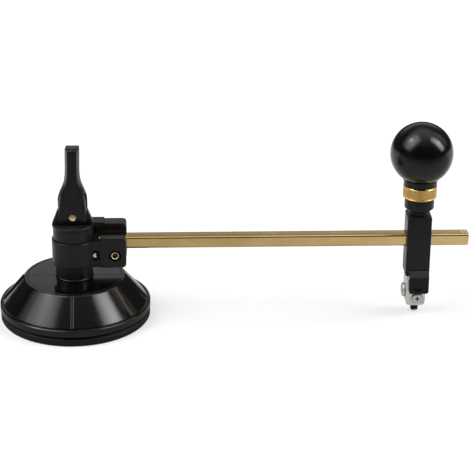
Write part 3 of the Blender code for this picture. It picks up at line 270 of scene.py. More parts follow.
CUP_OUTLINE = [
    (0, 0), (28, 0, 0.1), (28.4, 0.15), (28.8, 0, 0.1), (34, 0, 0.1), (34.4, 0.15),
    (34.8, 0, 0.1), (39.4, 0, 0.4), (39.9, 0.7, 0.5), (39.9, 3.5, 0.6), (38.6, 4.3, 0.2),
    (38.0, 4.5), (33.3, 4.5, 0.3), (32.4, 3.2, 0.4), (11.0, 3.2, 0.8), (10.1, 4.1, 0.5),
    (10.1, 6.2, 0.2), (4.9, 6.2, 0.1), (4.9, 4.6), (8.3, 4.6), (8.3, 2.0), (0, 2.0),
]
cup = turned("rubber_cup", CUP_OUTLINE, rubber_look, 180)
stand_for(cup, "base", "suction_cup", slot="rubber", stretch=("stem", 4.52, 4.58))


# Inside the cup a steel anchor plate takes the stem, with a washer and a short return
# spring above it. They are plain zinc plated steel, and the shell hides them.
zinc = Finish("zinc_plate", (0.55, 0.545, 0.53), 0.34, 1.0)
blotch = zinc.grain(1.6, 3)
zinc.relief(zinc.grain(0.25, 2), 0.008)
zinc_look = zinc.done(
    zinc.tint(blotch, (0.85, 0.84, 0.81), (0.66, 0.66, 0.66)),
    zinc.fit(blotch, 0.3, 0.7, 0.26, 0.45))


def refinish(material, *names):
    """Gives nodes of the frame another material."""
    for name in names:
        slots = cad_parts[name].data.materials
        slots.clear()
        slots.append(material)


refinish(zinc_look, "stem_anchor", "spring_washer", "post_nut", "clamp_nut", "knob_spindle",
         "wheel_axle")


def settle(piece):
    """Turns a piece with modifiers into a plain mesh."""
    view = bpy.context.evaluated_depsgraph_get()
    data = bpy.data.meshes.new_from_object(piece.evaluated_get(view))
    piece.modifiers.clear()
    old = piece.data
    piece.data = data
    bpy.data.meshes.remove(old)
    return piece


def heal(piece):
    """Merges corners that lie on each other, closes gaps and turns all faces outwards."""
    reach = 0.0005 * MM
    mesh = bmesh.new()
    mesh.from_mesh(piece.data)
    bmesh.ops.remove_doubles(mesh, verts=mesh.verts, dist=reach)
    bmesh.ops.dissolve_degenerate(mesh, edges=mesh.edges, dist=reach)
    bmesh.ops.holes_fill(mesh, edges=[edge for edge in mesh.edges if edge.is_boundary])
    bmesh.ops.recalc_face_normals(mesh, faces=mesh.faces)
    mesh.to_mesh(piece.data)
    mesh.free()
    return piece


class Nodes(Builder):
    """A Geometry Nodes tree with named inputs."""

    def __init__(self, name, **sizes):
        super().__init__(bpy.data.node_groups.new(name, "GeometryNodeTree"))
        face = self.tree.interface
        face.new_socket("Geometry", in_out="INPUT", socket_type="NodeSocketGeometry")
        for title, value in sizes.items():
            kind = "NodeSocketInt" if isinstance(value, int) else "NodeSocketFloat"
            face.new_socket(title, in_out="INPUT", socket_type=kind)
        face.new_socket("Geometry", in_out="OUTPUT", socket_type="NodeSocketGeometry")
        self.sizes = sizes
        self.start = self.tree.nodes.new("NodeGroupInput")
        self.end = self.tree.nodes.new("NodeGroupOutput")

    def __getitem__(self, title):
        """One of the tree's named inputs."""
        return Wire(self, self.start.outputs[title])

    def vector(self, x=0.0, y=0.0, z=0.0):
        return self.node("ShaderNodeCombineXYZ", None, {0: x, 1: y, 2: z})

    def line(self, start, end):
        return self.node("GeometryNodeCurvePrimitiveLine", None, {"Start": start, "End": end})

    def ring(self, facets, radius):
        return self.node("GeometryNodeCurvePrimitiveCircle", {"mode": "RADIUS"},
                         {"Resolution": facets, "Radius": radius})

    def swept(self, path, section, caps=True):
        return self.node("GeometryNodeCurveToMesh", None,
                         {0: path, 1: section, "Fill Caps": caps})

    def each_turn(self, count):
        """For the instances round a circle: each one's turn about Z, from its index."""
        return self.vector(z=math.tau / count * self.node("GeometryNodeInputIndex"))

    def merged(self, *parts):
        whole = self.node("GeometryNodeJoinGeometry")
        for part in reversed(parts):
            self.join(whole.socket.node.inputs[0], part)
        return whole

    def grow(self, piece, material, geometry):
        """Ends the tree, runs it on the piece and keeps the result as a plain mesh."""
        whole = self.node("GeometryNodeRealizeInstances", None, {0: geometry})
        dressed = self.node("GeometryNodeSetMaterial", None, {0: whole, "Material": material})
        self.join(self.end.inputs[0], dressed)
        modifier = piece.modifiers.new(self.tree.name, "NODES")
        modifier.node_group = self.tree
        for item in self.tree.interface.items_tree:
            if item.in_out == "INPUT" and item.name in self.sizes:
                modifier[item.identifier] = self.sizes[item.name]
        heal(settle(piece))
        piece.data.materials.clear()
        piece.data.materials.append(material)
        return shaded(piece)


coiling = Nodes("spring_coiling", Turns=3, Coil_radius=5 * MM, Wire_radius=0.48 * MM,
                Low=10.8 * MM, Height=4.25 * MM)
coil = coiling.node("GeometryNodeCurveSpiral", None, {
    "Resolution": 24, "Rotations": coiling["Turns"], "Height": coiling["Height"],
    "Start Radius": coiling["Coil_radius"], "End Radius": coiling["Coil_radius"]})
coil = coiling.swept(coil, coiling.ring(10, coiling["Wire_radius"]))
coil = coiling.node("GeometryNodeTransform", None,
                    {0: coil, "Translation": coiling.vector(z=coiling["Low"])})
spring = coiling.grow(empty_piece("coil_spring"), zinc_look, coil)
stand_for(spring, "stem", "return_spring", slot="steel", stretch=("base", 10.3, 15.6))


# The base shell is moulded from glossy black plastic: a flange that presses on the cup's
# rim, a cone with four mould ribs, and a flat top that the post is bolted to.
shell = Finish("shell_plastic", (0.002, 0.0021, 0.0027), 0.1, Specular_IOR_Level=0.36)
scuff = shell.grain(1.2, 5, (1, 1, 0.15), 0.7)
shell.relief(shell.grain(7, 2, (1, 1, 0.5)), 0.03)
shell.relief(shell.grain(0.5, 2), 0.006)
shell_look = shell.done(
    shell.tint(shell.fit(scuff, 0.62, 0.8), (0.002, 0.0021, 0.0027), (0.007, 0.0072, 0.008)),
    shell.fit(scuff, 0.35, 0.75, 0.09, 0.19))

SHELL_OUTLINE = [
    (34.8, 4.8), (39.3, 4.8, 0.2), (40.1, 5.5, 0.4), (40.1, 8.6, 0.4), (39.4, 9.2, 0.35),
    (38.9, 8.85, 0.15), (38.3, 8.85, 0.15), (38.1, 9.5, 0.2), (27.1, 22.4, 0.5),
    (26.5, 22.9, 0.5), (25.2, 22.9, 0.1), (25.0, 22.75), (24.8, 22.9, 0.1), (6.5, 22.9),
    (6.5, 20.4), (25.4, 20.4, 0.8), (34.8, 9.4, 0.5),
]
# The section is swept round a tiny ring on the post's axis. That turns its Y downwards,
# so the heights go in as minus Y.
section = bmesh.new()
corners = [section.verts.new((radius, -height, 0)) for radius, height in eased(SHELL_OUTLINE, 4)]
for first, second in zip(corners, corners[1:] + corners[:1]):
    section.edges.new((first, second))
base = piece_from("base_plastic", section)
turning = Nodes("shell_turning", Facets=180, Ribs=4, Foot_radius=38.0 * MM, Foot_height=9.3 * MM,
                Top_radius=26.9 * MM, Top_height=22.7 * MM, Rib_width=1.9 * MM,
                Rib_round=0.65 * MM, Line_width=0.2 * MM, Post_radius=9.6 * MM,
                Seam_height=22.8 * MM, Axis_ring=0.01 * MM)
path = turning.ring(turning["Facets"], turning["Axis_ring"])
profile = turning.node("GeometryNodeMeshToCurve", None, {0: turning["Geometry"]})
body = turning.swept(path, profile, False)
foot = turning.vector(turning["Foot_radius"], z=turning["Foot_height"])
top = turning.vector(turning["Top_radius"], z=turning["Top_height"])
inner = turning.vector(turning["Post_radius"], z=turning["Seam_height"])
outer = turning.vector(turning["Top_radius"], z=turning["Seam_height"])
rib_line = turning.node("GeometryNodeResampleCurve", None,
                        {0: turning.line(foot, top), "Count": 12})
rib_section = turning.node("GeometryNodeCurvePrimitiveQuadrilateral", {"mode": "RECTANGLE"}, {
    "Width": turning["Rib_width"], "Height": turning["Rib_width"]})
rib_section = turning.node("GeometryNodeFilletCurve", {"mode": "POLY"}, {
    "Curve": rib_section, "Radius": turning["Rib_round"], "Count": 3})
seam = turning.swept(turning.line(outer, inner), turning.ring(10, turning["Line_width"]))
fin = turning.merged(turning.swept(rib_line, rib_section), seam)
spots = turning.node("GeometryNodePoints", None, {"Count": turning["Ribs"]})
fins = turning.node("GeometryNodeInstanceOnPoints", None, {
    "Points": spots, "Instance": fin, "Rotation": turning.each_turn(turning["Ribs"])})
turning.grow(base, shell_look, turning.merged(body, fins))
stand_for(base, "base", "base_shell", slot="black_plastic")


# The pivot post is a turned steel post with a painted root flange. It is bolted to the
# shell from below, and carries the brass bush that the arm turns on.
paint = Finish("black_paint", (0.009, 0.0092, 0.0105), 0.34, Specular_IOR_Level=0.3)
paint.relief(paint.grain(0.9, 2), 0.022)
paint.relief(paint.grain(0.22, 2), 0.006)
paint_look = paint.worn(paint.grain(3.5, 4), 0.5, 0.8, (0.009, 0.0092, 0.0105),
                        (0.014, 0.0142, 0.015), 0.28, 0.42)

POST_OUTLINE = [
    (2.8, 15.9), (6.2, 15.9, 0.2), (6.2, 23.2), (10.2, 23.2, 0.1), (10.1, 23.6, 0.2),
    (9.8, 23.9, 0.3), (9.8, 30.5, 0.5), (7.0, 30.5), (7.0, 44.9), (5.0, 44.9),
    (5.0, 49.7, 0.3), (2.8, 49.7),
]
post = turned("painted_post", POST_OUTLINE, paint_look)
stand_for(post, "base", "pivot_post", slot="black_metal")

brass = Finish("turned_brass", (0.78, 0.55, 0.24), 0.25, 1.0)
brass.relief(brass.grain(0.3, 3, (0.3, 0.3, 3)), 0.01)
brass_look = brass.worn(brass.grain(2.2, 4), 0.4, 0.7, (1.0, 0.84, 0.50), (0.92, 0.72, 0.36),
                        0.32, 0.48)
refinish(brass_look, "collar_bush", "knob_insert", "clamp_shoe")


# The post cap is a painted steel cap screwed on top of the post, with a slot across it
# for the lever's foot and two small holes in its lip for a pin spanner.
def prism_mesh(outline, low, high, axis="Y"):
    """An eased outline extruded between two places along an axis, in millimetres."""
    mesh = bmesh.new()
    spots = {"X": lambda a, b, c: (c, a, b), "Y": lambda a, b, c: (a, c, b),
             "Z": lambda a, b, c: (a, b, c)}[axis]
    face = mesh.faces.new([mesh.verts.new(spots(a, b, low)) for a, b in eased(outline)])
    grown = bmesh.ops.extrude_face_region(mesh, geom=[face])
    far = [item for item in grown["geom"] if isinstance(item, bmesh.types.BMVert)]
    bmesh.ops.translate(mesh, verts=far, vec=Vector(spots(0, 0, high)) - Vector(spots(0, 0, low)))
    bmesh.ops.recalc_face_normals(mesh, faces=mesh.faces)
    return mesh


def upright(left, right, low, high, low_round=0, high_round=0):
    """A rectangle's outline, with its lower and its upper corners rounded."""
    return [(left, low, low_round), (right, low, low_round), (right, high, high_round),
            (left, high, high_round)]


def box_mesh(low, high):
    return prism_mesh(upright(low[0], high[0], low[2], high[2]), low[1], high[1])


def rod_mesh(radius, start, end, axis="Z", centre=(0, 0, 0), facets=48):
    outline = [(0, start), (radius, start), (radius, end), (0, end)]
    return turned_mesh(outline, facets, centre, axis)


def cut(piece, *meshes, operation="DIFFERENCE"):
    """Cuts meshes, which reach past its faces, out of a piece, or fuses them to it."""
    for mesh in meshes:
        tool = piece_from("tool", mesh)
        modifier = piece.modifiers.new("job", "BOOLEAN")
        modifier.operation = operation
        modifier.solver = "EXACT"
        modifier.object = tool
        heal(settle(piece))
        bpy.data.objects.remove(tool, do_unlink=True)
    return piece


def fuse(piece, *meshes):
    return cut(piece, *meshes, operation="UNION")


def broken_edges(piece, width, segments=2, angle=40):
    """Rounds a piece's sharp edges a little, as deburring and paint do."""
    modifier = piece.modifiers.new("edges", "BEVEL")
    modifier.width = width * MM
    modifier.segments = segments
    modifier.limit_method = "ANGLE"
    modifier.angle_limit = math.radians(angle)
    modifier.harden_normals = False
    modifier.use_clamp_overlap = True
    return shaded(settle(piece))


CAP_OUTLINE = [
    (5.3, 45.2), (10.7, 45.2, 0.3), (10.7, 51.6, 0.3), (11.0, 52.2, 0.3), (11.0, 53.2, 0.5),
    (2.8, 53.2), (2.8, 50.0), (5.3, 50.0),
]
cap = turned("slotted_cap", CAP_OUTLINE, paint_look)
SLOT_HALF, SLOT_FLOOR = 4.0, 51.2
SPANNER_CIRCLE, SPANNER_HOLE, SPANNER_FLOOR = 8.7, 1.0, 51.8
spanner_turn = math.radians(-49)
cut(cap, box_mesh((-14, -SLOT_HALF, SLOT_FLOOR), (14, SLOT_HALF, 56)))
for reach in (SPANNER_CIRCLE, -SPANNER_CIRCLE):
    spanner_spot = (reach * math.cos(spanner_turn), reach * math.sin(spanner_turn), 0)
    cut(cap, rod_mesh(SPANNER_HOLE, SPANNER_FLOOR, 55, centre=spanner_spot))
broken_edges(cap, 0.12)
stand_for(cap, "base", "post_cap", slot="black_metal")


# The stem is a steel rod through the post. Its flat head, blackened and tapered, stands
# in the lever's fork, and lifts the middle of the cup when the lever is flipped.
PIN_HEIGHT, PIN_HOLE = 57.0, 1.8
FOOT_TOP = 51.5
STEM_HEAD = [
    (-2.0, 48.0), (2.0, 48.0), (2.0, FOOT_TOP), (11.0, FOOT_TOP), (11.0, 53.1, 0.4),
    (7.9, 61.0, 1.6), (4.0, 65.5, 1.5), (-4.0, 65.5, 1.5), (-7.9, 61.0, 1.6),
    (-11.0, 53.1, 0.4), (-11.0, FOOT_TOP), (-2.0, FOOT_TOP),
]
stem = piece_from("stem_and_head", prism_mesh(STEM_HEAD, -1.7, 1.7), paint_look)
broken_edges(stem, 0.25, 3)
fuse(stem, turned_mesh([(0, 4.6), (2.5, 4.6, 0.3), (2.5, 49.0), (0, 49.0)], 64))
cut(stem, rod_mesh(PIN_HOLE, -3, 3, "Y", (0, 0, PIN_HEIGHT)))
stand_for(stem, "stem", "cup_stem", slot="black_metal")


# The cam lever is moulded from black plastic, with two legs at its foot that bear on the
# cap, square shoulders, and a slim grip whose long edges are cut off at an angle. It
# turns on a riveted brass pin through the stem's head.
lever_finish = Finish("lever_plastic", (0.005, 0.0052, 0.006), 0.2, Specular_IOR_Level=0.32)
flow = lever_finish.grain(5, 3, (1, 1, 0.35))
lever_finish.relief(flow, 0.05)
lever_finish.relief(lever_finish.grain(0.5, 2), 0.012)
lever_look = lever_finish.worn(flow, 0.55, 0.8, (0.005, 0.005, 0.0055),
                               (0.010, 0.010, 0.0105), 0.18, 0.3)

CAM_DROP, CAM_SIDE = 5.5, 7.9
SHOULDER, SHOULDER_SPAN, GRIP, LEVER_TOP, LEAN = 8.5, 18.0, 3.85, 38.1, 0.75
WAIST_SHARES = ((0.0, 1.0), (0.06, 0.975), (0.13, 0.92), (0.21, 0.83), (0.28, 0.72),
                (0.37, 0.55), (0.47, 0.37), (0.56, 0.22), (0.66, 0.11), (0.82, 0.03), (1.0, 0.0))
LEVER_FACE, FRONT_DRAFT, BACK_DRAFT, DRAFT_CURVE, EDGE_BREAK = 3.7, 1.5, 0.25, 1.25, 0.15
TOP_ROUND, TOP_CURVE, TOP_CORNER, CAM_STEPS, FOOT_RISE = 1.3, 4, 1.1, 24, 3
LAYERS = (-1.0, -0.97, -0.9, -0.78, -0.55, -0.28, 0.0, 0.28, 0.55, 0.78, 0.9, 0.97, 1.0)
FORK_HALF, FORK_TOP, PIN_SINK, SINK_FLOOR = 2.0, PIN_HEIGHT + 13, 2.4, 2.4
rate = (CAM_SIDE - CAM_DROP) / (math.pi / 2)
edge_line = []
for step in range(CAM_STEPS + 1):
    turn = math.pi / 2 * step / CAM_STEPS
    reach = CAM_DROP + rate * turn
    edge_line.append((reach * math.sin(turn) + rate * math.cos(turn),
                      -reach * math.cos(turn) + rate * math.sin(turn)))
for height_share, width_share in WAIST_SHARES:
    edge_line.append((GRIP + (CAM_SIDE - GRIP) * width_share,
                      SHOULDER + SHOULDER_SPAN * height_share))
edge_line.append((GRIP, LEVER_TOP, TOP_CORNER))
lever_outline = eased(edge_line + [(-point[0], *point[1:]) for point in reversed(edge_line)])
lever_mesh = bmesh.new()
rings = []
for layer in LAYERS:
    ring = []
    for index, (side, rise) in enumerate(lever_outline):
        along = lever_outline[(index + 1) % len(lever_outline)] - lever_outline[index - 1]
        faced, level = along.normalized().yx
        drawn_in = (FRONT_DRAFT if layer < 0 else BACK_DRAFT) * abs(layer) ** DRAFT_CURVE
        drawn_in += EDGE_BREAK if abs(layer) == 1 else 0.0
        drawn_in *= faced * min(1, max(0, rise / FOOT_RISE))
        lowered = TOP_ROUND * max(0, -level) * max(0, -layer) ** TOP_CURVE
        lean = LEAN * max(0, rise - SHOULDER) / (LEVER_TOP - SHOULDER)
        ring.append(lever_mesh.verts.new((side - drawn_in + lean, LEVER_FACE * layer,
                                          PIN_HEIGHT + rise - lowered)))
    rings.append(ring)
for near, far in zip(rings, rings[1:]):
    for index in range(len(near)):
        lever_mesh.faces.new((near[index - 1], near[index], far[index], far[index - 1]))
lever_mesh.faces.new(rings[0])
lever_mesh.faces.new(rings[-1])
bmesh.ops.recalc_face_normals(lever_mesh, faces=lever_mesh.faces)
lever = piece_from("lever_grip", lever_mesh, lever_look, 30)
cut(lever, box_mesh((-12, -FORK_HALF, 48), (12, FORK_HALF, FORK_TOP)),
    rod_mesh(PIN_HOLE, -6, 6, "Y", (0, 0, PIN_HEIGHT)),
    rod_mesh(PIN_SINK, -6, -SINK_FLOOR, "Y", (0, 0, PIN_HEIGHT)),
    rod_mesh(PIN_SINK, SINK_FLOOR, 6, "Y", (0, 0, PIN_HEIGHT)))
shaded(lever, 30)
stand_for(lever, "lever", "cam_lever", slot="black_plastic")

PIN_OUTLINE = [
    (0, -3.25), (0.95, -3.25, 0.1), (1.2, -3.5, 0.15), (1.6, -3.6, 0.3), (2.1, -3.3, 0.4),
    (2.1, -2.7), (1.5, -2.7), (1.5, 2.7), (2.1, 2.7), (2.1, 3.3, 0.4), (1.6, 3.6, 0.3),
    (1.2, 3.5, 0.15), (0.95, 3.25, 0.1), (0, 3.25),
]
pin = turned("brass_pin", PIN_OUTLINE, brass_look, 64, (0, 0, PIN_HEIGHT), "Y")
stand_for(pin, "lever", "lever_pin", slot="brass")


# The swivel collar is one black painted die casting: a ring that turns on the post's
# bush, and two split ears that the clamp screw pulls together on the bar.
def cast_solid(name, parts, cuts, voxel, smoothing, material):
    """A casting: solids fused and smoothed, so that edges and joins come out rounded."""
    piece = piece_from(name, parts[0])
    fuse(piece, *parts[1:])
    cut(piece, *cuts)
    remesh = piece.modifiers.new("fuse", "REMESH")
    remesh.mode = "VOXEL"
    remesh.voxel_size = voxel * MM
    smooth = piece.modifiers.new("smooth", "SMOOTH")
    smooth.factor = 0.5
    smooth.iterations = smoothing
    settle(piece)
    piece.data.shade_smooth()
    piece.data.materials.clear()
    piece.data.materials.append(material)
    return piece


RING_LOW, RING_HIGH, RING_RADIUS, BUSH_RADIUS = 30.8, 44.9, 11.5, 8.3
FRONT, REAR, SLIT = -8.95, 11.75, 3.85
EAR_START, EAR_END, FRONT_EAR_TOP, REAR_EAR_TOP, SHOULDER_TOP = 14.2, 27.9, 47.5, 50.8, 51.5
CLAMP_AXIS, CLAMP_HOLE, CLAMP_HEAD_HOLE, NUT_POCKET = (22.0, 0, 37.25), 1.8, 3.2, 3.5
BUSH_SCREW_AXIS, BUSH_SCREW_HOLE = (11.7, 0, 37.3), 1.75
RECESS_LEFT, RECESS_RIGHT, RECESS_LOW, RECESS_HIGH, RECESS_CORNER = 10.3, 13.9, 34.4, 40.2, 1.8


def ear_mesh(top, low, high):
    outline = [(EAR_START, RING_LOW), (EAR_END, RING_LOW, 2.2), (EAR_END, top, 2.4),
               (EAR_START, top)]
    return prism_mesh(outline, low, high)


collar_parts = [
    turned_mesh([(BUSH_RADIUS, RING_LOW), (RING_RADIUS, RING_LOW, 0.5),
                 (RING_RADIUS, RING_HIGH, 0.5), (BUSH_RADIUS, RING_HIGH)], 96),
    box_mesh((9.0, FRONT + 0.8, RING_LOW), (17.0, REAR - 4, RING_HIGH)),
    box_mesh((4.0, FRONT + 0.8, RING_LOW), (17.0, -8.0, RING_HIGH)),
    ear_mesh(FRONT_EAR_TOP, FRONT, 0),
    ear_mesh(REAR_EAR_TOP, 0, REAR),
    box_mesh((8.5, SLIT, RING_LOW), (16.0, REAR, SHOULDER_TOP)),
]
recess = upright(RECESS_LEFT, RECESS_RIGHT, RECESS_LOW, RECESS_HIGH, RECESS_CORNER, RECESS_CORNER)
collar_cuts = [
    box_mesh((13.2, -SLIT, 29), (30, SLIT, 53)),
    rod_mesh(BUSH_RADIUS, 29, 53, facets=96),
    rod_mesh(RING_RADIUS - 0.2, RING_HIGH, 53, facets=96),
    rod_mesh(CLAMP_HOLE, -14, 14, "Y", CLAMP_AXIS),
    rod_mesh(CLAMP_HEAD_HOLE, -14, FRONT + 3.0, "Y", CLAMP_AXIS),
    rod_mesh(NUT_POCKET, REAR - 3.0, 14, "Y", CLAMP_AXIS, 6),
    prism_mesh(recess, -14, FRONT + 3.2),
    rod_mesh(BUSH_SCREW_HOLE, FRONT, FRONT + 5, "Y", BUSH_SCREW_AXIS),
]
collar = cast_solid("clamp_casting", collar_parts, collar_cuts, 0.26, 5, paint_look)
stand_for(collar, "arm", "swivel_collar", slot="black_metal")


# The clamp screw is a brass socket head screw through both ears, into a nut let into
# the rear one. A small slotted steel screw in the collar holds the bush.
HEAD_FACE, HEAD_SEAT, NUT_FACE, SOCKET, SOCKET_FLOOR = -8.4, -6.2, 11.4, 1.5, -6.5
SCREW_OUTLINE = [
    (0, SOCKET_FLOOR), (1.25, SOCKET_FLOOR), (1.45, HEAD_FACE + 0.3, 0.1),
    (1.9, HEAD_FACE, 0.5), (2.5, HEAD_FACE + 0.9, 0.7), (2.5, HEAD_SEAT, 0.1),
    (1.5, HEAD_SEAT), (1.5, NUT_FACE, 0.2), (0, NUT_FACE),
]
screw_brass = Finish("screw_brass", (0.95, 0.76, 0.40), 0.4, 1.0)
wear = screw_brass.grain(0.7, 3)
deep = screw_brass.along("Y")
# Painted shade: the screw is coloured dark inside its socket and on the side of its head, which
# sits in the ear's counterbore.
recess_shade = screw_brass.fit(deep, (HEAD_FACE + 0.45) * MM, (HEAD_FACE + 0.8) * MM)
screw_brass.relief(wear, 0.02)
screw_look = screw_brass.done(
    screw_brass.tint(recess_shade * screw_brass.fit(deep, 0.0, 1 * MM, 1.0, 0.0),
                     screw_brass.tint(wear, (1.0, 0.94, 0.70), (0.95, 0.82, 0.50)),
                     (0.12, 0.07, 0.015)),
    screw_brass.fit(wear, 0.3, 0.7, 0.38, 0.55))
clamp_screw = turned("clamp_screw_brass", SCREW_OUTLINE, screw_look, 72, CLAMP_AXIS, "Y")
shaded(cut(clamp_screw, rod_mesh(SOCKET, HEAD_FACE - 1, SOCKET_FLOOR, "Y", CLAMP_AXIS, 6)))
stand_for(clamp_screw, "clamp_screw", "clamp_screw", slot="brass")

BUSH_SCREW_OUTLINE = [(0, -7.55), (1.45, -7.55, 0.25), (1.45, -4.65), (0, -4.65)]
set_screw = turned("bush_screw", BUSH_SCREW_OUTLINE, zinc_look, 40, BUSH_SCREW_AXIS, "Y")
cut(set_screw, box_mesh((12.2, -9, 34), (13.3, -6.0, 40)))
stand_for(set_screw, "arm", "collar_set_screw", slot="steel")


# The graduated bar is square drawn brass with its long edges cut back. A scale of fine
# lines, one to the millimetre, is rolled into its top face.
drawn = Finish("drawn_brass", (0.86, 0.60, 0.26), 0.3, 1.0)
streak = drawn.grain(0.16, 3, (0.01, 1, 1), 0.6)
band = drawn.grain(5, 2, (0.25, 1, 1))
tarnish = drawn.grain(8, 4, (0.5, 1, 1))
drawn.relief(streak, 0.012)
drawn.relief(drawn.grain(0.4, 2), 0.004)
# Painted shade: the bar's colour darkens towards its collar end.
collar_end_shade = drawn.fit(drawn.along("X"), 30 * MM, 200 * MM, 0.7, 0.0)
drawn_tone = drawn.fit(tarnish * 0.7 + band * 0.3, 0.35, 0.7) * 0.35 + collar_end_shade
drawn_look = drawn.done(
    drawn.tint(drawn_tone, (1.0, 0.73, 0.35), (0.56, 0.395, 0.15)),
    drawn.fit(streak, 0.3, 0.7, 0.15, 0.28))

BAR_START, BAR_END = 13.5, 209.7
BAR_HEIGHT, BAR_HALF, END_BREAK = 42.7, 3.55, 0.45
EDGE_FACETS = ((6, 0.3), (50, 0.65), (23, 0.55), (60, 0.65))
corner = Vector((0, 0))
cut_back = [corner]
for tilt, length in EDGE_FACETS:
    tilt = math.radians(tilt)
    corner = corner + Vector((math.cos(tilt), -math.sin(tilt))) * length
    cut_back.append(corner)
shift = Vector((BAR_HALF - cut_back[-1].x, BAR_HALF))
quarter = [spot + shift for spot in cut_back]
bar_section = []
for side, up in ((1, 1), (1, -1), (-1, -1), (-1, 1)):
    bent = [(side * spot.x, BAR_HEIGHT + up * spot.y) for spot in quarter]
    bar_section += bent if side * up > 0 else bent[::-1]
bar_mesh = prism_mesh(bar_section, BAR_START, BAR_END, "X")
end_edges = [edge for edge in bar_mesh.edges if edge.calc_length() < BAR_END - BAR_START - 1]
bmesh.ops.bevel(bar_mesh, geom=end_edges, offset=END_BREAK, segments=2, affect="EDGES")
bar = piece_from("brass_bar", bar_mesh, drawn_look, 8)

SCALE_START, SCALE_END = 29.0, 205.0
groove = Finish("scale_lines", (0.10, 0.062, 0.022), 0.5, 0.6)
groove_look = groove.done(groove.tint(groove.grain(1.5, 3), (0.12, 0.075, 0.026),
                                      (0.06, 0.038, 0.016)))
ruling = Nodes("scale_ruling", Lines=int(SCALE_END - SCALE_START) + 1, Pitch=1 * MM,
               Start=SCALE_START * MM, Height=(BAR_HEIGHT + BAR_HALF - 0.03) * MM,
               Line_width=0.3 * MM, Line_depth=0.08 * MM, Length=4.4 * MM)
marks = ruling.node("GeometryNodeMeshLine", None, {
    "Count": ruling["Lines"], "Offset": ruling.vector(ruling["Pitch"]),
    "Start Location": ruling.vector(ruling["Start"], z=ruling["Height"])})
mark = ruling.node("GeometryNodeMeshCube", None, {"Size": ruling.vector(
    ruling["Line_width"], ruling["Length"], ruling["Line_depth"])})
lines = ruling.node("GeometryNodeInstanceOnPoints", None, {"Points": marks, "Instance": mark})
scale = ruling.grow(empty_piece("bar_scale"), groove_look, lines)
stand_for(bar, "bar", "graduated_bar", slot="brass")
stand_for(scale, "bar", slot="brass")


# The head block is a black painted square steel block that slides on the bar, with a
# turned neck on top of it, for a turned black ferrule, and a window for the bar.
RADIUS = 182.8
HEAD_AXIS = (RADIUS, 0, 0)
BLOCK_LOW, BLOCK_HIGH, NECK, NECK_TOP, SPIGOT_END = 23.1, 56.6, 4.5, 58.8, 29.8
HALF_WIDTH, HALF_DEPTH = 6.45, 6.3
WINDOW_HALF, WINDOW_LOW, WINDOW_HIGH = 3.85, 38.85, 46.55
POCKET_SIDE, POCKET_HALF, POCKET_TOP, SPINDLE_BORE = 4.3, 3.4, 52.15, 3.3


def head_box(side, depth, low, high):
    """A box in the middle of the head, from half its sides and its two heights."""
    return box_mesh((RADIUS - side, -depth, low), (RADIUS + side, depth, high))


block_mesh = head_box(HALF_WIDTH, HALF_DEPTH, BLOCK_LOW, BLOCK_HIGH)
block = piece_from("head_block_steel", block_mesh, paint_look)
broken_edges(block, 0.55, 4)
neck_outline = [(0, 52), (NECK, 52), (NECK, NECK_TOP, 0.2), (0, NECK_TOP)]
fuse(block, turned_mesh(neck_outline, 64, HEAD_AXIS))
cut(block, head_box(9, WINDOW_HALF, WINDOW_LOW, WINDOW_HIGH),
    head_box(POCKET_SIDE, POCKET_HALF, 45, POCKET_TOP),
    rod_mesh(SPINDLE_BORE, 45, 62, centre=HEAD_AXIS),
    rod_mesh(SPINDLE_BORE, 20, SPIGOT_END + 0.3, centre=HEAD_AXIS))
shaded(block, 30)
stand_for(block, "head", "head_block", slot="black_metal")

FERRULE_OUTLINE = [
    (3.3, 59.1), (6.2, 59.1, 0.3), (7.8, 60.8, 0.5), (7.8, 66.0, 0.35), (3.3, 66.0),
]
ferrule = turned("black_ferrule", FERRULE_OUTLINE, paint_look, 96, HEAD_AXIS)
stand_for(ferrule, "head", "lower_ferrule", slot="black_metal")


# The lock nut is turned brass with a straight knurl between two smooth beads. It is run
# down on the spindle to lock the knob.
NUT_LOW, NUT_HIGH = 66.3, 73.4
NUT_OUTLINE = [
    (3.3, NUT_LOW), (8.3, NUT_LOW, 0.4), (8.9, NUT_LOW + 0.5, 0.35), (8.9, NUT_LOW + 1.0, 0.3),
    (8.4, NUT_LOW + 1.2, 0.1), (8.4, NUT_HIGH - 1.2, 0.1), (8.9, NUT_HIGH - 1.0, 0.3),
    (8.9, NUT_HIGH - 0.5, 0.35), (8.3, NUT_HIGH, 0.4), (3.3, NUT_HIGH),
]
nut_brass = Finish("nut_brass", (0.93, 0.60, 0.20), 0.22, 1.0)
polish = nut_brass.grain(0.9, 3, (1, 1, 2))
around = nut_brass.node("ShaderNodeVectorMath", {"operation": "LENGTH"}, {
    0: nut_brass.place((1, 1, 0), (RADIUS * MM, 0, 0))}, out=1)
# The nut is coloured darker inside the radius of its teeth: in the knurl's grooves and over its
# flat ends.
darker_inside_teeth = nut_brass.fit(around, 8.38 * MM, 8.62 * MM, 1.0, 0.0)
nut_brass.relief(nut_brass.grain(0.2, 2, (1, 1, 4)), 0.01)
nut_look = nut_brass.done(
    nut_brass.tint(darker_inside_teeth * 0.4, nut_brass.tint(
        nut_brass.fit(polish, 0.35, 0.7), (0.97, 0.68, 0.28), (0.85, 0.55, 0.18)),
        (0.3, 0.18, 0.06)),
    nut_brass.fit(polish, 0.3, 0.7, 0.18, 0.32))
lock_nut = turned("knurled_nut", NUT_OUTLINE, nut_look, 120, HEAD_AXIS)
knurl = Nodes("nut_knurl", Teeth=48, Radius=8.3 * MM, Tooth_radius=0.5 * MM,
              Height=(NUT_HIGH - NUT_LOW - 2.3) * MM, Centre=RADIUS * MM,
              Middle=(NUT_LOW + NUT_HIGH) / 2 * MM)
circle = knurl.node("GeometryNodeMeshCircle", None,
                    {"Vertices": knurl["Teeth"], "Radius": knurl["Radius"]})
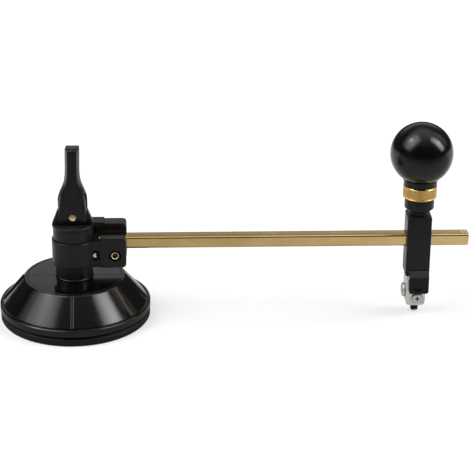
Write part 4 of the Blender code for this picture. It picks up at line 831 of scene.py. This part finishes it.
circle = knurl.node("GeometryNodeTransform", None, {
    0: circle, "Translation": knurl.vector(knurl["Centre"], z=knurl["Middle"])})
tooth = knurl.node("GeometryNodeMeshCylinder", None,
                   {"Vertices": 4, "Radius": knurl["Tooth_radius"], "Depth": knurl["Height"]})
teeth = knurl.node("GeometryNodeInstanceOnPoints", None, {
    "Points": circle, "Instance": tooth, "Rotation": knurl.each_turn(knurl["Teeth"])})
knurl.grow(lock_nut, nut_look, knurl.merged(knurl["Geometry"], teeth))
stand_for(lock_nut, "lock_nut", "lock_nut", slot="brass")


# The knob is a polished black ball on a stepped black collar. A steel spindle runs from
# its brass insert down to the shoe on the bar, so turning the knob clamps the head.
knob_finish = Finish("ball_lacquer", (0.0025, 0.0027, 0.0034), 0.18, Specular_IOR_Level=0.4)
knob_finish.relief(knob_finish.grain(4, 2), 0.012)
knob_look = knob_finish.worn(knob_finish.grain(6, 3), 0.5, 0.8, (0.0025, 0.0027, 0.0034),
                             (0.005, 0.0052, 0.006), 0.13, 0.2)

BALL, BALL_MIDDLE, BALL_LOW, BALL_RINGS = 16.5, 90.76, 77.2, 48
INSERT_HOLE, INSERT_TOP = 5.4, 94.4
first_turn = math.asin((BALL_LOW - BALL_MIDDLE) / BALL) + 0.02
ball_outline = [(INSERT_HOLE, BALL_LOW), (8.2, BALL_LOW, 0.1)]
for step in range(BALL_RINGS):
    turn = first_turn + (math.pi / 2 - first_turn) * step / BALL_RINGS
    ball_outline.append((BALL * math.cos(turn), BALL_MIDDLE + BALL * math.sin(turn)))
ball_outline += [(0, BALL_MIDDLE + BALL), (0, INSERT_TOP), (INSERT_HOLE, INSERT_TOP)]
ball = turned("ball_knob", ball_outline, knob_look, 128, HEAD_AXIS)
stand_for(ball, "knob", "knob_ball", slot="gloss_black")

NECK_OUTLINE = [
    (3.3, 73.7), (8.7, 73.7, 0.25), (8.8, 75.7, 0.2), (9.15, 76.1, 0.2), (9.2, 76.9, 0.25),
    (3.3, 76.9),
]
neck = turned("stepped_collar", NECK_OUTLINE, paint_look, 96, HEAD_AXIS)
stand_for(neck, "knob", "neck_collar", slot="black_metal")


# The foot plate is a black painted steel plate over the joint of the block and the
# carrier. Its top is cut back at an angle, and one small sunk screw holds it.
PLATE_MIDDLE, PLATE_HALF = RADIUS + 0.9, 5.25
PLATE_LOW, PLATE_TOP, PLATE_SLOPE = 13.5, 26.2, 3.5
PLATE_BACK, PLATE_FRONT = -6.6, -8.6
plate_outline = upright(PLATE_MIDDLE - PLATE_HALF, PLATE_MIDDLE + PLATE_HALF, PLATE_LOW,
                        PLATE_TOP, 1.5, 0.3)
plate_mesh = prism_mesh(plate_outline, PLATE_FRONT, PLATE_BACK)
plate_paint = Finish("plate_paint", (0.006, 0.0062, 0.007), 0.36, Specular_IOR_Level=0.25)
# The sloped top is coloured lighter, with streaks in its colour and relief.
on_slope = plate_paint.fit(plate_paint.along("Z"), (PLATE_TOP - PLATE_SLOPE - 0.1) * MM,
                        (PLATE_TOP - PLATE_SLOPE + 0.3) * MM)
scratches = plate_paint.fit(plate_paint.grain(0.35, 4, (1, 1, 0.12), 0.7), 0.4, 0.65)
plate_paint.relief(scratches * on_slope, 0.03)
plate_paint.relief(plate_paint.grain(0.9, 2), 0.02)
plate_look = plate_paint.done(
    plate_paint.tint(on_slope * (0.35 + 0.65 * scratches), (0.006, 0.0062, 0.007),
                     (0.06, 0.06, 0.062)),
    plate_paint.fit(scratches, 0.0, 1.0, 0.3, 0.5))
plate = piece_from("foot_plate_steel", plate_mesh, plate_look)
run = PLATE_SLOPE / (PLATE_BACK - PLATE_FRONT)
wedge = prism_mesh([(PLATE_BACK - 0.25, PLATE_TOP + 0.01),
                    (PLATE_FRONT - 2, PLATE_TOP - PLATE_SLOPE - 2 * run),
                    (PLATE_FRONT - 2, PLATE_TOP + 2), (PLATE_BACK - 0.25, PLATE_TOP + 2)],
                   RADIUS - 9, RADIUS + 9, "X")
cut(plate, wedge)
broken_edges(plate, 0.22, 3, 25)
PLATE_SCREW, PLATE_SINK, PLATE_HOLE = (RADIUS + 0.4, 0, PLATE_LOW + 3.0), 1.7, 1.2
shaded(cut(plate, rod_mesh(PLATE_SINK, -10, -6.8, "Y", PLATE_SCREW),
           rod_mesh(PLATE_HOLE, -10, -5.5, "Y", PLATE_SCREW)))
stand_for(plate, "head", "foot_plate", slot="black_metal")
PLATE_SCREW_OUTLINE = [(0, -7.5), (0.55, -7.5, 0.05), (1.4, -7.9, 0.2), (1.4, -7.1),
                       (0.9, -7.1), (0.9, -4.3), (0, -4.3)]
plate_screw = turned("plate_screw_black", PLATE_SCREW_OUTLINE, paint_look, 40, PLATE_SCREW, "Y")
stand_for(plate_screw, "head", "plate_screw", slot="steel")


# The wheel carrier is a small block of bright steel with its lower corners rounded off.
# A cross recess screw in front and a slotted screw at the side hold the wheel's holder.
bright = Finish("bright_steel", (0.85, 0.83, 0.79), 0.36, 1.0)
bright.relief(bright.grain(0.3, 3, (1, 1, 0.2)), 0.012)
bright.relief(bright.grain(0.8, 2), 0.02)
bright_look = bright.worn(bright.grain(2.4, 4), 0.35, 0.7, (0.90, 0.88, 0.84),
                          (0.70, 0.68, 0.65), 0.3, 0.48)

CARRIER_MIDDLE, CARRIER_HALF = RADIUS - 0.4, 5.15
CARRIER_LEFT, CARRIER_RIGHT = CARRIER_MIDDLE - CARRIER_HALF, CARRIER_MIDDLE + CARRIER_HALF
CARRIER_LOW, CARRIER_TOP = 5.7, 22.8
carrier_outline = upright(CARRIER_LEFT, CARRIER_RIGHT, CARRIER_LOW, CARRIER_TOP, 2.6)
carrier_mesh = prism_mesh(carrier_outline, -HALF_DEPTH, HALF_DEPTH)
carrier = piece_from("steel_carrier", carrier_mesh, bright_look)
broken_edges(carrier, 0.3, 3, 35)
FRONT_SCREW, SIDE_SCREW = (RADIUS + 0.4, 0, 10.3), (0, 0, 12.5)
OIL_HOLE = (CARRIER_LEFT + 1.4, 0, CARRIER_TOP - 3.1)
SPIGOT, HOLDER_BORE, FRONT_BORE, SIDE_BORE, OIL_BORE = 3.0, 2.35, 1.8, 2.1, 0.7
fuse(carrier, rod_mesh(SPIGOT, 19, SPIGOT_END, centre=HEAD_AXIS))
shaded(cut(carrier, rod_mesh(HOLDER_BORE, 3, 16.8, centre=HEAD_AXIS),
           rod_mesh(FRONT_BORE, -8, -2.0, "Y", FRONT_SCREW),
           rod_mesh(SIDE_BORE, RADIUS - 12, RADIUS - 2.0, "X", SIDE_SCREW),
           rod_mesh(PLATE_HOLE, -8, -4.0, "Y", PLATE_SCREW),
           rod_mesh(OIL_BORE, -8, -4.3, "Y", OIL_HOLE, 24)))
stand_for(carrier, "head", "wheel_carrier", slot="steel")

FRONT_SEAT = -HALF_DEPTH - 0.3
CROSS_ARM, CROSS_HALF, CROSS_FLOOR = 1.5, 0.35, FRONT_SEAT - 0.5
cross_steel = Finish("cross_screw_steel", (0.80, 0.79, 0.76), 0.4, 1.0)
rub = cross_steel.grain(0.8, 3)
# Painted shade: the screw is coloured near black in its cross recess and on the side of its head,
# next to the carrier.
recess_shade = cross_steel.fit(cross_steel.along("Y"), (FRONT_SEAT - 1.0) * MM,
                        (FRONT_SEAT - 0.75) * MM)
cross_steel.relief(rub, 0.02)
cross_look = cross_steel.done(
    cross_steel.tint(recess_shade * 0.9, cross_steel.tint(rub, (0.92, 0.90, 0.86), (0.74, 0.72, 0.69)),
                     (0.03, 0.028, 0.025)),
    cross_steel.fit(rub, 0.3, 0.7, 0.34, 0.5))
FRONT_SCREW_OUTLINE = [
    (0, FRONT_SEAT - 1.2), (1.9, FRONT_SEAT - 1.25, 0.6), (2.9, FRONT_SEAT - 0.7, 0.35),
    (2.9, FRONT_SEAT, 0.15), (1.5, FRONT_SEAT), (1.5, -2.4), (0, -2.4),
]
front_screw = turned("cross_screw", FRONT_SCREW_OUTLINE, cross_look, 64, FRONT_SCREW, "Y")
for side, up in ((CROSS_ARM, CROSS_HALF), (CROSS_HALF, CROSS_ARM)):
    low = (FRONT_SCREW[0] - side, FRONT_SEAT - 2, FRONT_SCREW[2] - up)
    high = (FRONT_SCREW[0] + side, CROSS_FLOOR, FRONT_SCREW[2] + up)
    cut(front_screw, box_mesh(low, high))
shaded(cut(front_screw, rod_mesh(0.75, FRONT_SEAT - 2, FRONT_SEAT - 0.4, "Y", FRONT_SCREW, 24)))
stand_for(front_screw, "head", "carrier_front_screw", slot="steel")

SIDE_SEAT = CARRIER_LEFT - 0.3
SIDE_SCREW_OUTLINE = [
    (0, SIDE_SEAT - 1.5), (3.0, SIDE_SEAT - 1.5, 0.4), (3.8, SIDE_SEAT - 1.0, 0.4),
    (3.8, SIDE_SEAT, 0.2), (1.8, SIDE_SEAT), (1.8, RADIUS - 2.4), (0, RADIUS - 2.4),
]
side_screw = turned("side_screw_steel", SIDE_SCREW_OUTLINE, bright_look, 64, SIDE_SCREW, "X")
shaded(cut(side_screw, box_mesh((SIDE_SEAT - 3, -0.45, 6), (SIDE_SEAT - 0.8, 0.45, 19))))
stand_for(side_screw, "head", "carrier_side_screw", slot="steel")


# The wheel holder is a blackened steel pin, slotted at its tip. The hardened wheel runs
# in the slot on a fine steel axle, and its edge scores the glass.
WHEEL_RADIUS, WHEEL_GAP, AXLE_HOLE = 2.0, 0.7, 0.58
HOLDER_OUTLINE = [(0, 0.5), (2.05, 0.5, 1.1), (2.05, 16.5), (0, 16.5)]
holder = turned("wheel_pin", HOLDER_OUTLINE, paint_look, 64, HEAD_AXIS)
shaded(cut(holder, head_box(WHEEL_GAP, 4, -2, 4.3),
           rod_mesh(AXLE_HOLE, RADIUS - 4, RADIUS + 4, "X", (0, 0, WHEEL_RADIUS), 24)))
stand_for(holder, "head", "wheel_holder", slot="black_metal")

hard = Finish("hard_metal", (0.10, 0.10, 0.105), 0.35, 1.0)
grind = hard.grain(0.25, 3)
hard.relief(grind, 0.01)
hard_look = hard.done(hard.tint(grind, (0.13, 0.13, 0.135), (0.07, 0.07, 0.075)),
                      hard.fit(grind, 0.3, 0.7, 0.3, 0.45))
WHEEL_OUTLINE = [(AXLE_HOLE, -0.5), (1.3, -0.5, 0.1), (WHEEL_RADIUS, -0.06, 0.02),
                 (WHEEL_RADIUS, 0.06, 0.02), (1.3, 0.5, 0.1), (AXLE_HOLE, 0.5)]
wheel = turned("scoring_wheel", WHEEL_OUTLINE, hard_look, 72, (RADIUS, 0, WHEEL_RADIUS), "X")
stand_for(wheel, "wheel", "cutting_wheel", slot="steel")


# The studio: a white floor under two soft windows, one to each side, in front of a
# white background. The floor keeps the object's shadow.
FLOOR_HALF, FLOOR_DROP = 4000, 0.1
FLOOR_WHITE, FLOOR_GLOW = 0.52, 0.53
floor_mesh = bmesh.new()
bmesh.ops.create_grid(floor_mesh, x_segments=1, y_segments=1, size=FLOOR_HALF)
bmesh.ops.translate(floor_mesh, verts=floor_mesh.verts, vec=(0, 0, -FLOOR_DROP))
floor_paint = Finish("floor_white", (FLOOR_WHITE,) * 3, 0.9, Specular_IOR_Level=0.0)
seen = floor_paint.node("ShaderNodeLightPath", out="Is Camera Ray")
mirrored = floor_paint.node("ShaderNodeLightPath", out="Is Glossy Ray")
depth = floor_paint.along("Y")
# Seen in mirrors only, the floor is painted darker in front of the object and far behind it, and
# glows in a band just behind it: a painted reflection.
behind = floor_paint.fit(depth, 0.02, 0.12) * floor_paint.fit(depth, 0.3, 0.6, 1.0, 0.0)
outer = floor_paint.fit(depth, -0.4, -0.1, 1.0, 0.0) + floor_paint.fit(depth, 0.4, 0.7)
away = floor_paint.node("ShaderNodeVectorMath", {"operation": "LENGTH"}, {
    0: floor_paint.node("ShaderNodeTexCoord", out="Object")}, out=1)
far = floor_paint.fit(away, 0.4, 1.4)
glow = floor_paint.node("ShaderNodeEmission", None, {
    "Color": (1, 1, 1, 1),
    "Strength": seen * (FLOOR_GLOW + (1 - FLOOR_GLOW) * far) + mirrored * behind * 0.45})
floor_paint.done(floor_paint.tint(mirrored * outer * 0.55, (FLOOR_WHITE,) * 3, (0, 0, 0)))
lit = floor_paint.node("ShaderNodeAddShader", None, {
    0: Wire(floor_paint, floor_paint.shader.outputs[0]), 1: glow})
floor_paint.join(floor_paint.tree.nodes["Material Output"].inputs["Surface"], lit)
floor_paint.material.cycles.emission_sampling = "NONE"
piece_from("studio_floor", floor_mesh, floor_paint.material)

world = bpy.data.worlds.new("studio")
bpy.context.scene.world = world
world.use_nodes = True
sky = Builder(world.node_tree)
towards = sky.node("ShaderNodeTexCoord", out="Generated")
side, back, rise = (sky.node("ShaderNodeSeparateXYZ", None, {0: towards}, out=axis)
                    for axis in range(3))
aside = abs(side)
rear_panel = (sky.fit(rise, 0.14, 0.3) * sky.fit(rise, 0.48, 0.62, 1.0, 0.0)
              * sky.fit(back, 0.3, 0.6) * sky.fit(aside, 0.3, 0.6, 1.0, 0.1))
top_panel = (sky.fit(rise, 0.80, 0.93) * sky.fit(back, -0.45, 0.0)
             * sky.fit(aside, 0.3, 0.5, 1.0, 0.4))
ceiling = sky.fit(rise, 0.6, 0.85)
room = rear_panel * 0.55 + top_panel * 0.75 + ceiling * 0.3 + 0.05


def dot(spot, direction):
    return sky.node("ShaderNodeVectorMath", {"operation": "DOT_PRODUCT"},
                    {0: spot, 1: direction}, out=1)


def window_axes(outward, along):
    """A window's own axes: along it, up it, and from the object towards it."""
    outward = Vector(outward).normalized()
    along = (Vector(along) - outward * outward.dot(Vector(along))).normalized()
    return along, outward.cross(along), outward


def window(outward, along, widths, heights, edge, radiance):
    """A soft window, seen in mirrors only, that is brightest in its middle."""
    along, upward, outward = window_axes(outward, along)
    ahead = dot(towards, outward)
    glow = sky.fit(ahead, 0.1, 0.2)
    for axis, (low, high) in zip((along, upward), (widths, heights)):
        offset = abs(dot(towards, axis) / ahead - (low + high) / 2)
        half = (high - low) / 2
        glow = glow * sky.fit(offset, half - edge, half + edge, 1.0, 0.0)
        glow = glow * sky.fit(offset, 0.0, half, 1.3, 0.5)
    return glow * radiance


LEFT, LEFT_SIDE = (-0.64, -0.16, 0.75), (0.73, 0.14, 0.67)
RIGHT, RIGHT_SIDE = (0.76, 0.03, 0.65), (0.65, 0.02, -0.76)
# Where each window stands, its own X, its extent along and up, its soft edge, its radiance
WINDOWS = (
    (LEFT, LEFT_SIDE, (-0.54, 0.54), (-0.43, 0.22), 0.06, 3.4),
    (LEFT, LEFT_SIDE, (-0.5, 0.5), (0.1, 0.5), 0.06, 1.0),
    (RIGHT, RIGHT_SIDE, (-0.46, 0.54), (-0.47, -0.05), 0.04, 7.2),
    (RIGHT, RIGHT_SIDE, (-0.46, 0.54), (0.05, 0.45), 0.06, 0.7),
    (LEFT, LEFT_SIDE, (-0.08, 0.2), (-0.05, 0.19), 0.06, 5.0),
    (RIGHT, RIGHT_SIDE, (-0.1, 0.15), (-0.24, -0.06), 0.05, 1.6),
)
for row in WINDOWS:
    room = room + window(*row)
camera_ray = sky.node("ShaderNodeLightPath", out="Is Camera Ray")
clear_ray = sky.node("ShaderNodeLightPath", out="Is Transmission Ray")
glossy_ray = sky.node("ShaderNodeLightPath", out="Is Glossy Ray")
shown = camera_ray + clear_ray
level = shown + (1 - shown) * (glossy_ray * room + (1 - glossy_ray) * 0.1)
sky.join(sky.tree.nodes["Background"].inputs["Color"], (1, 1, 1, 1))
sky.join(sky.tree.nodes["Background"].inputs["Strength"], level)

# The lamps stand where the windows are, and light what isn't a mirror. Each has its two
# sides in metres and its power in watts per square metre.
LAMP_DISTANCE, LAMP_AIM = 2, Vector((0.09, 0, 0.03))
LAMPS = {
    "lamp_left": (LEFT, LEFT_SIDE, (2.3, 1.75), 9.8),
    "lamp_right": (RIGHT, RIGHT_SIDE, (2.3, 1.45), 11.0),
}
for name, (direction, side, size, power) in LAMPS.items():
    lamp = bpy.data.lights.new(name, "AREA")
    lamp.shape = "RECTANGLE"
    lamp.size, lamp.size_y = size
    lamp.energy = power * size[0] * size[1]
    stand = bpy.data.objects.new(name, lamp)
    bpy.context.collection.objects.link(stand)
    axes = window_axes(direction, side)
    stand.matrix_world = (Matrix.Translation(LAMP_AIM + axes[2] * LAMP_DISTANCE)
                          @ Matrix(axes).transposed().to_4x4())
    stand.visible_glossy = False

# The camera was fitted to the photograph: its tilt, turn and roll in degrees, the point
# that it looks at, and its focal length in pixels of the picture.
TILT, TURN, ROLL = (math.radians(angle) for angle in (23.38, 2.171, 0.351))
TARGET, DISTANCE = Vector((0.085461, 0, 0.045175)), 0.91734
FOCAL_PIXELS, PICTURE, SENSOR = 1729.4, 470, 36
forward = Vector((math.sin(TURN) * math.cos(TILT), math.cos(TURN) * math.cos(TILT),
                  -math.sin(TILT)))
level = Vector((math.cos(TURN), -math.sin(TURN), 0))
upward = level.cross(forward)
across = math.cos(ROLL) * level + math.sin(ROLL) * upward
upward = math.cos(ROLL) * upward - math.sin(ROLL) * level
lens = bpy.data.cameras.new("camera")
lens.sensor_width = SENSOR
lens.sensor_fit = "HORIZONTAL"
lens.lens = FOCAL_PIXELS / PICTURE * SENSOR
camera = bpy.data.objects.new("camera", lens)
bpy.context.collection.objects.link(camera)
axes = Matrix((across, upward, -forward)).transposed().to_4x4()
camera.matrix_world = Matrix.Translation(TARGET - forward * DISTANCE) @ axes
bpy.context.scene.camera = camera
bpy.context.scene.view_settings.view_transform = "Standard"
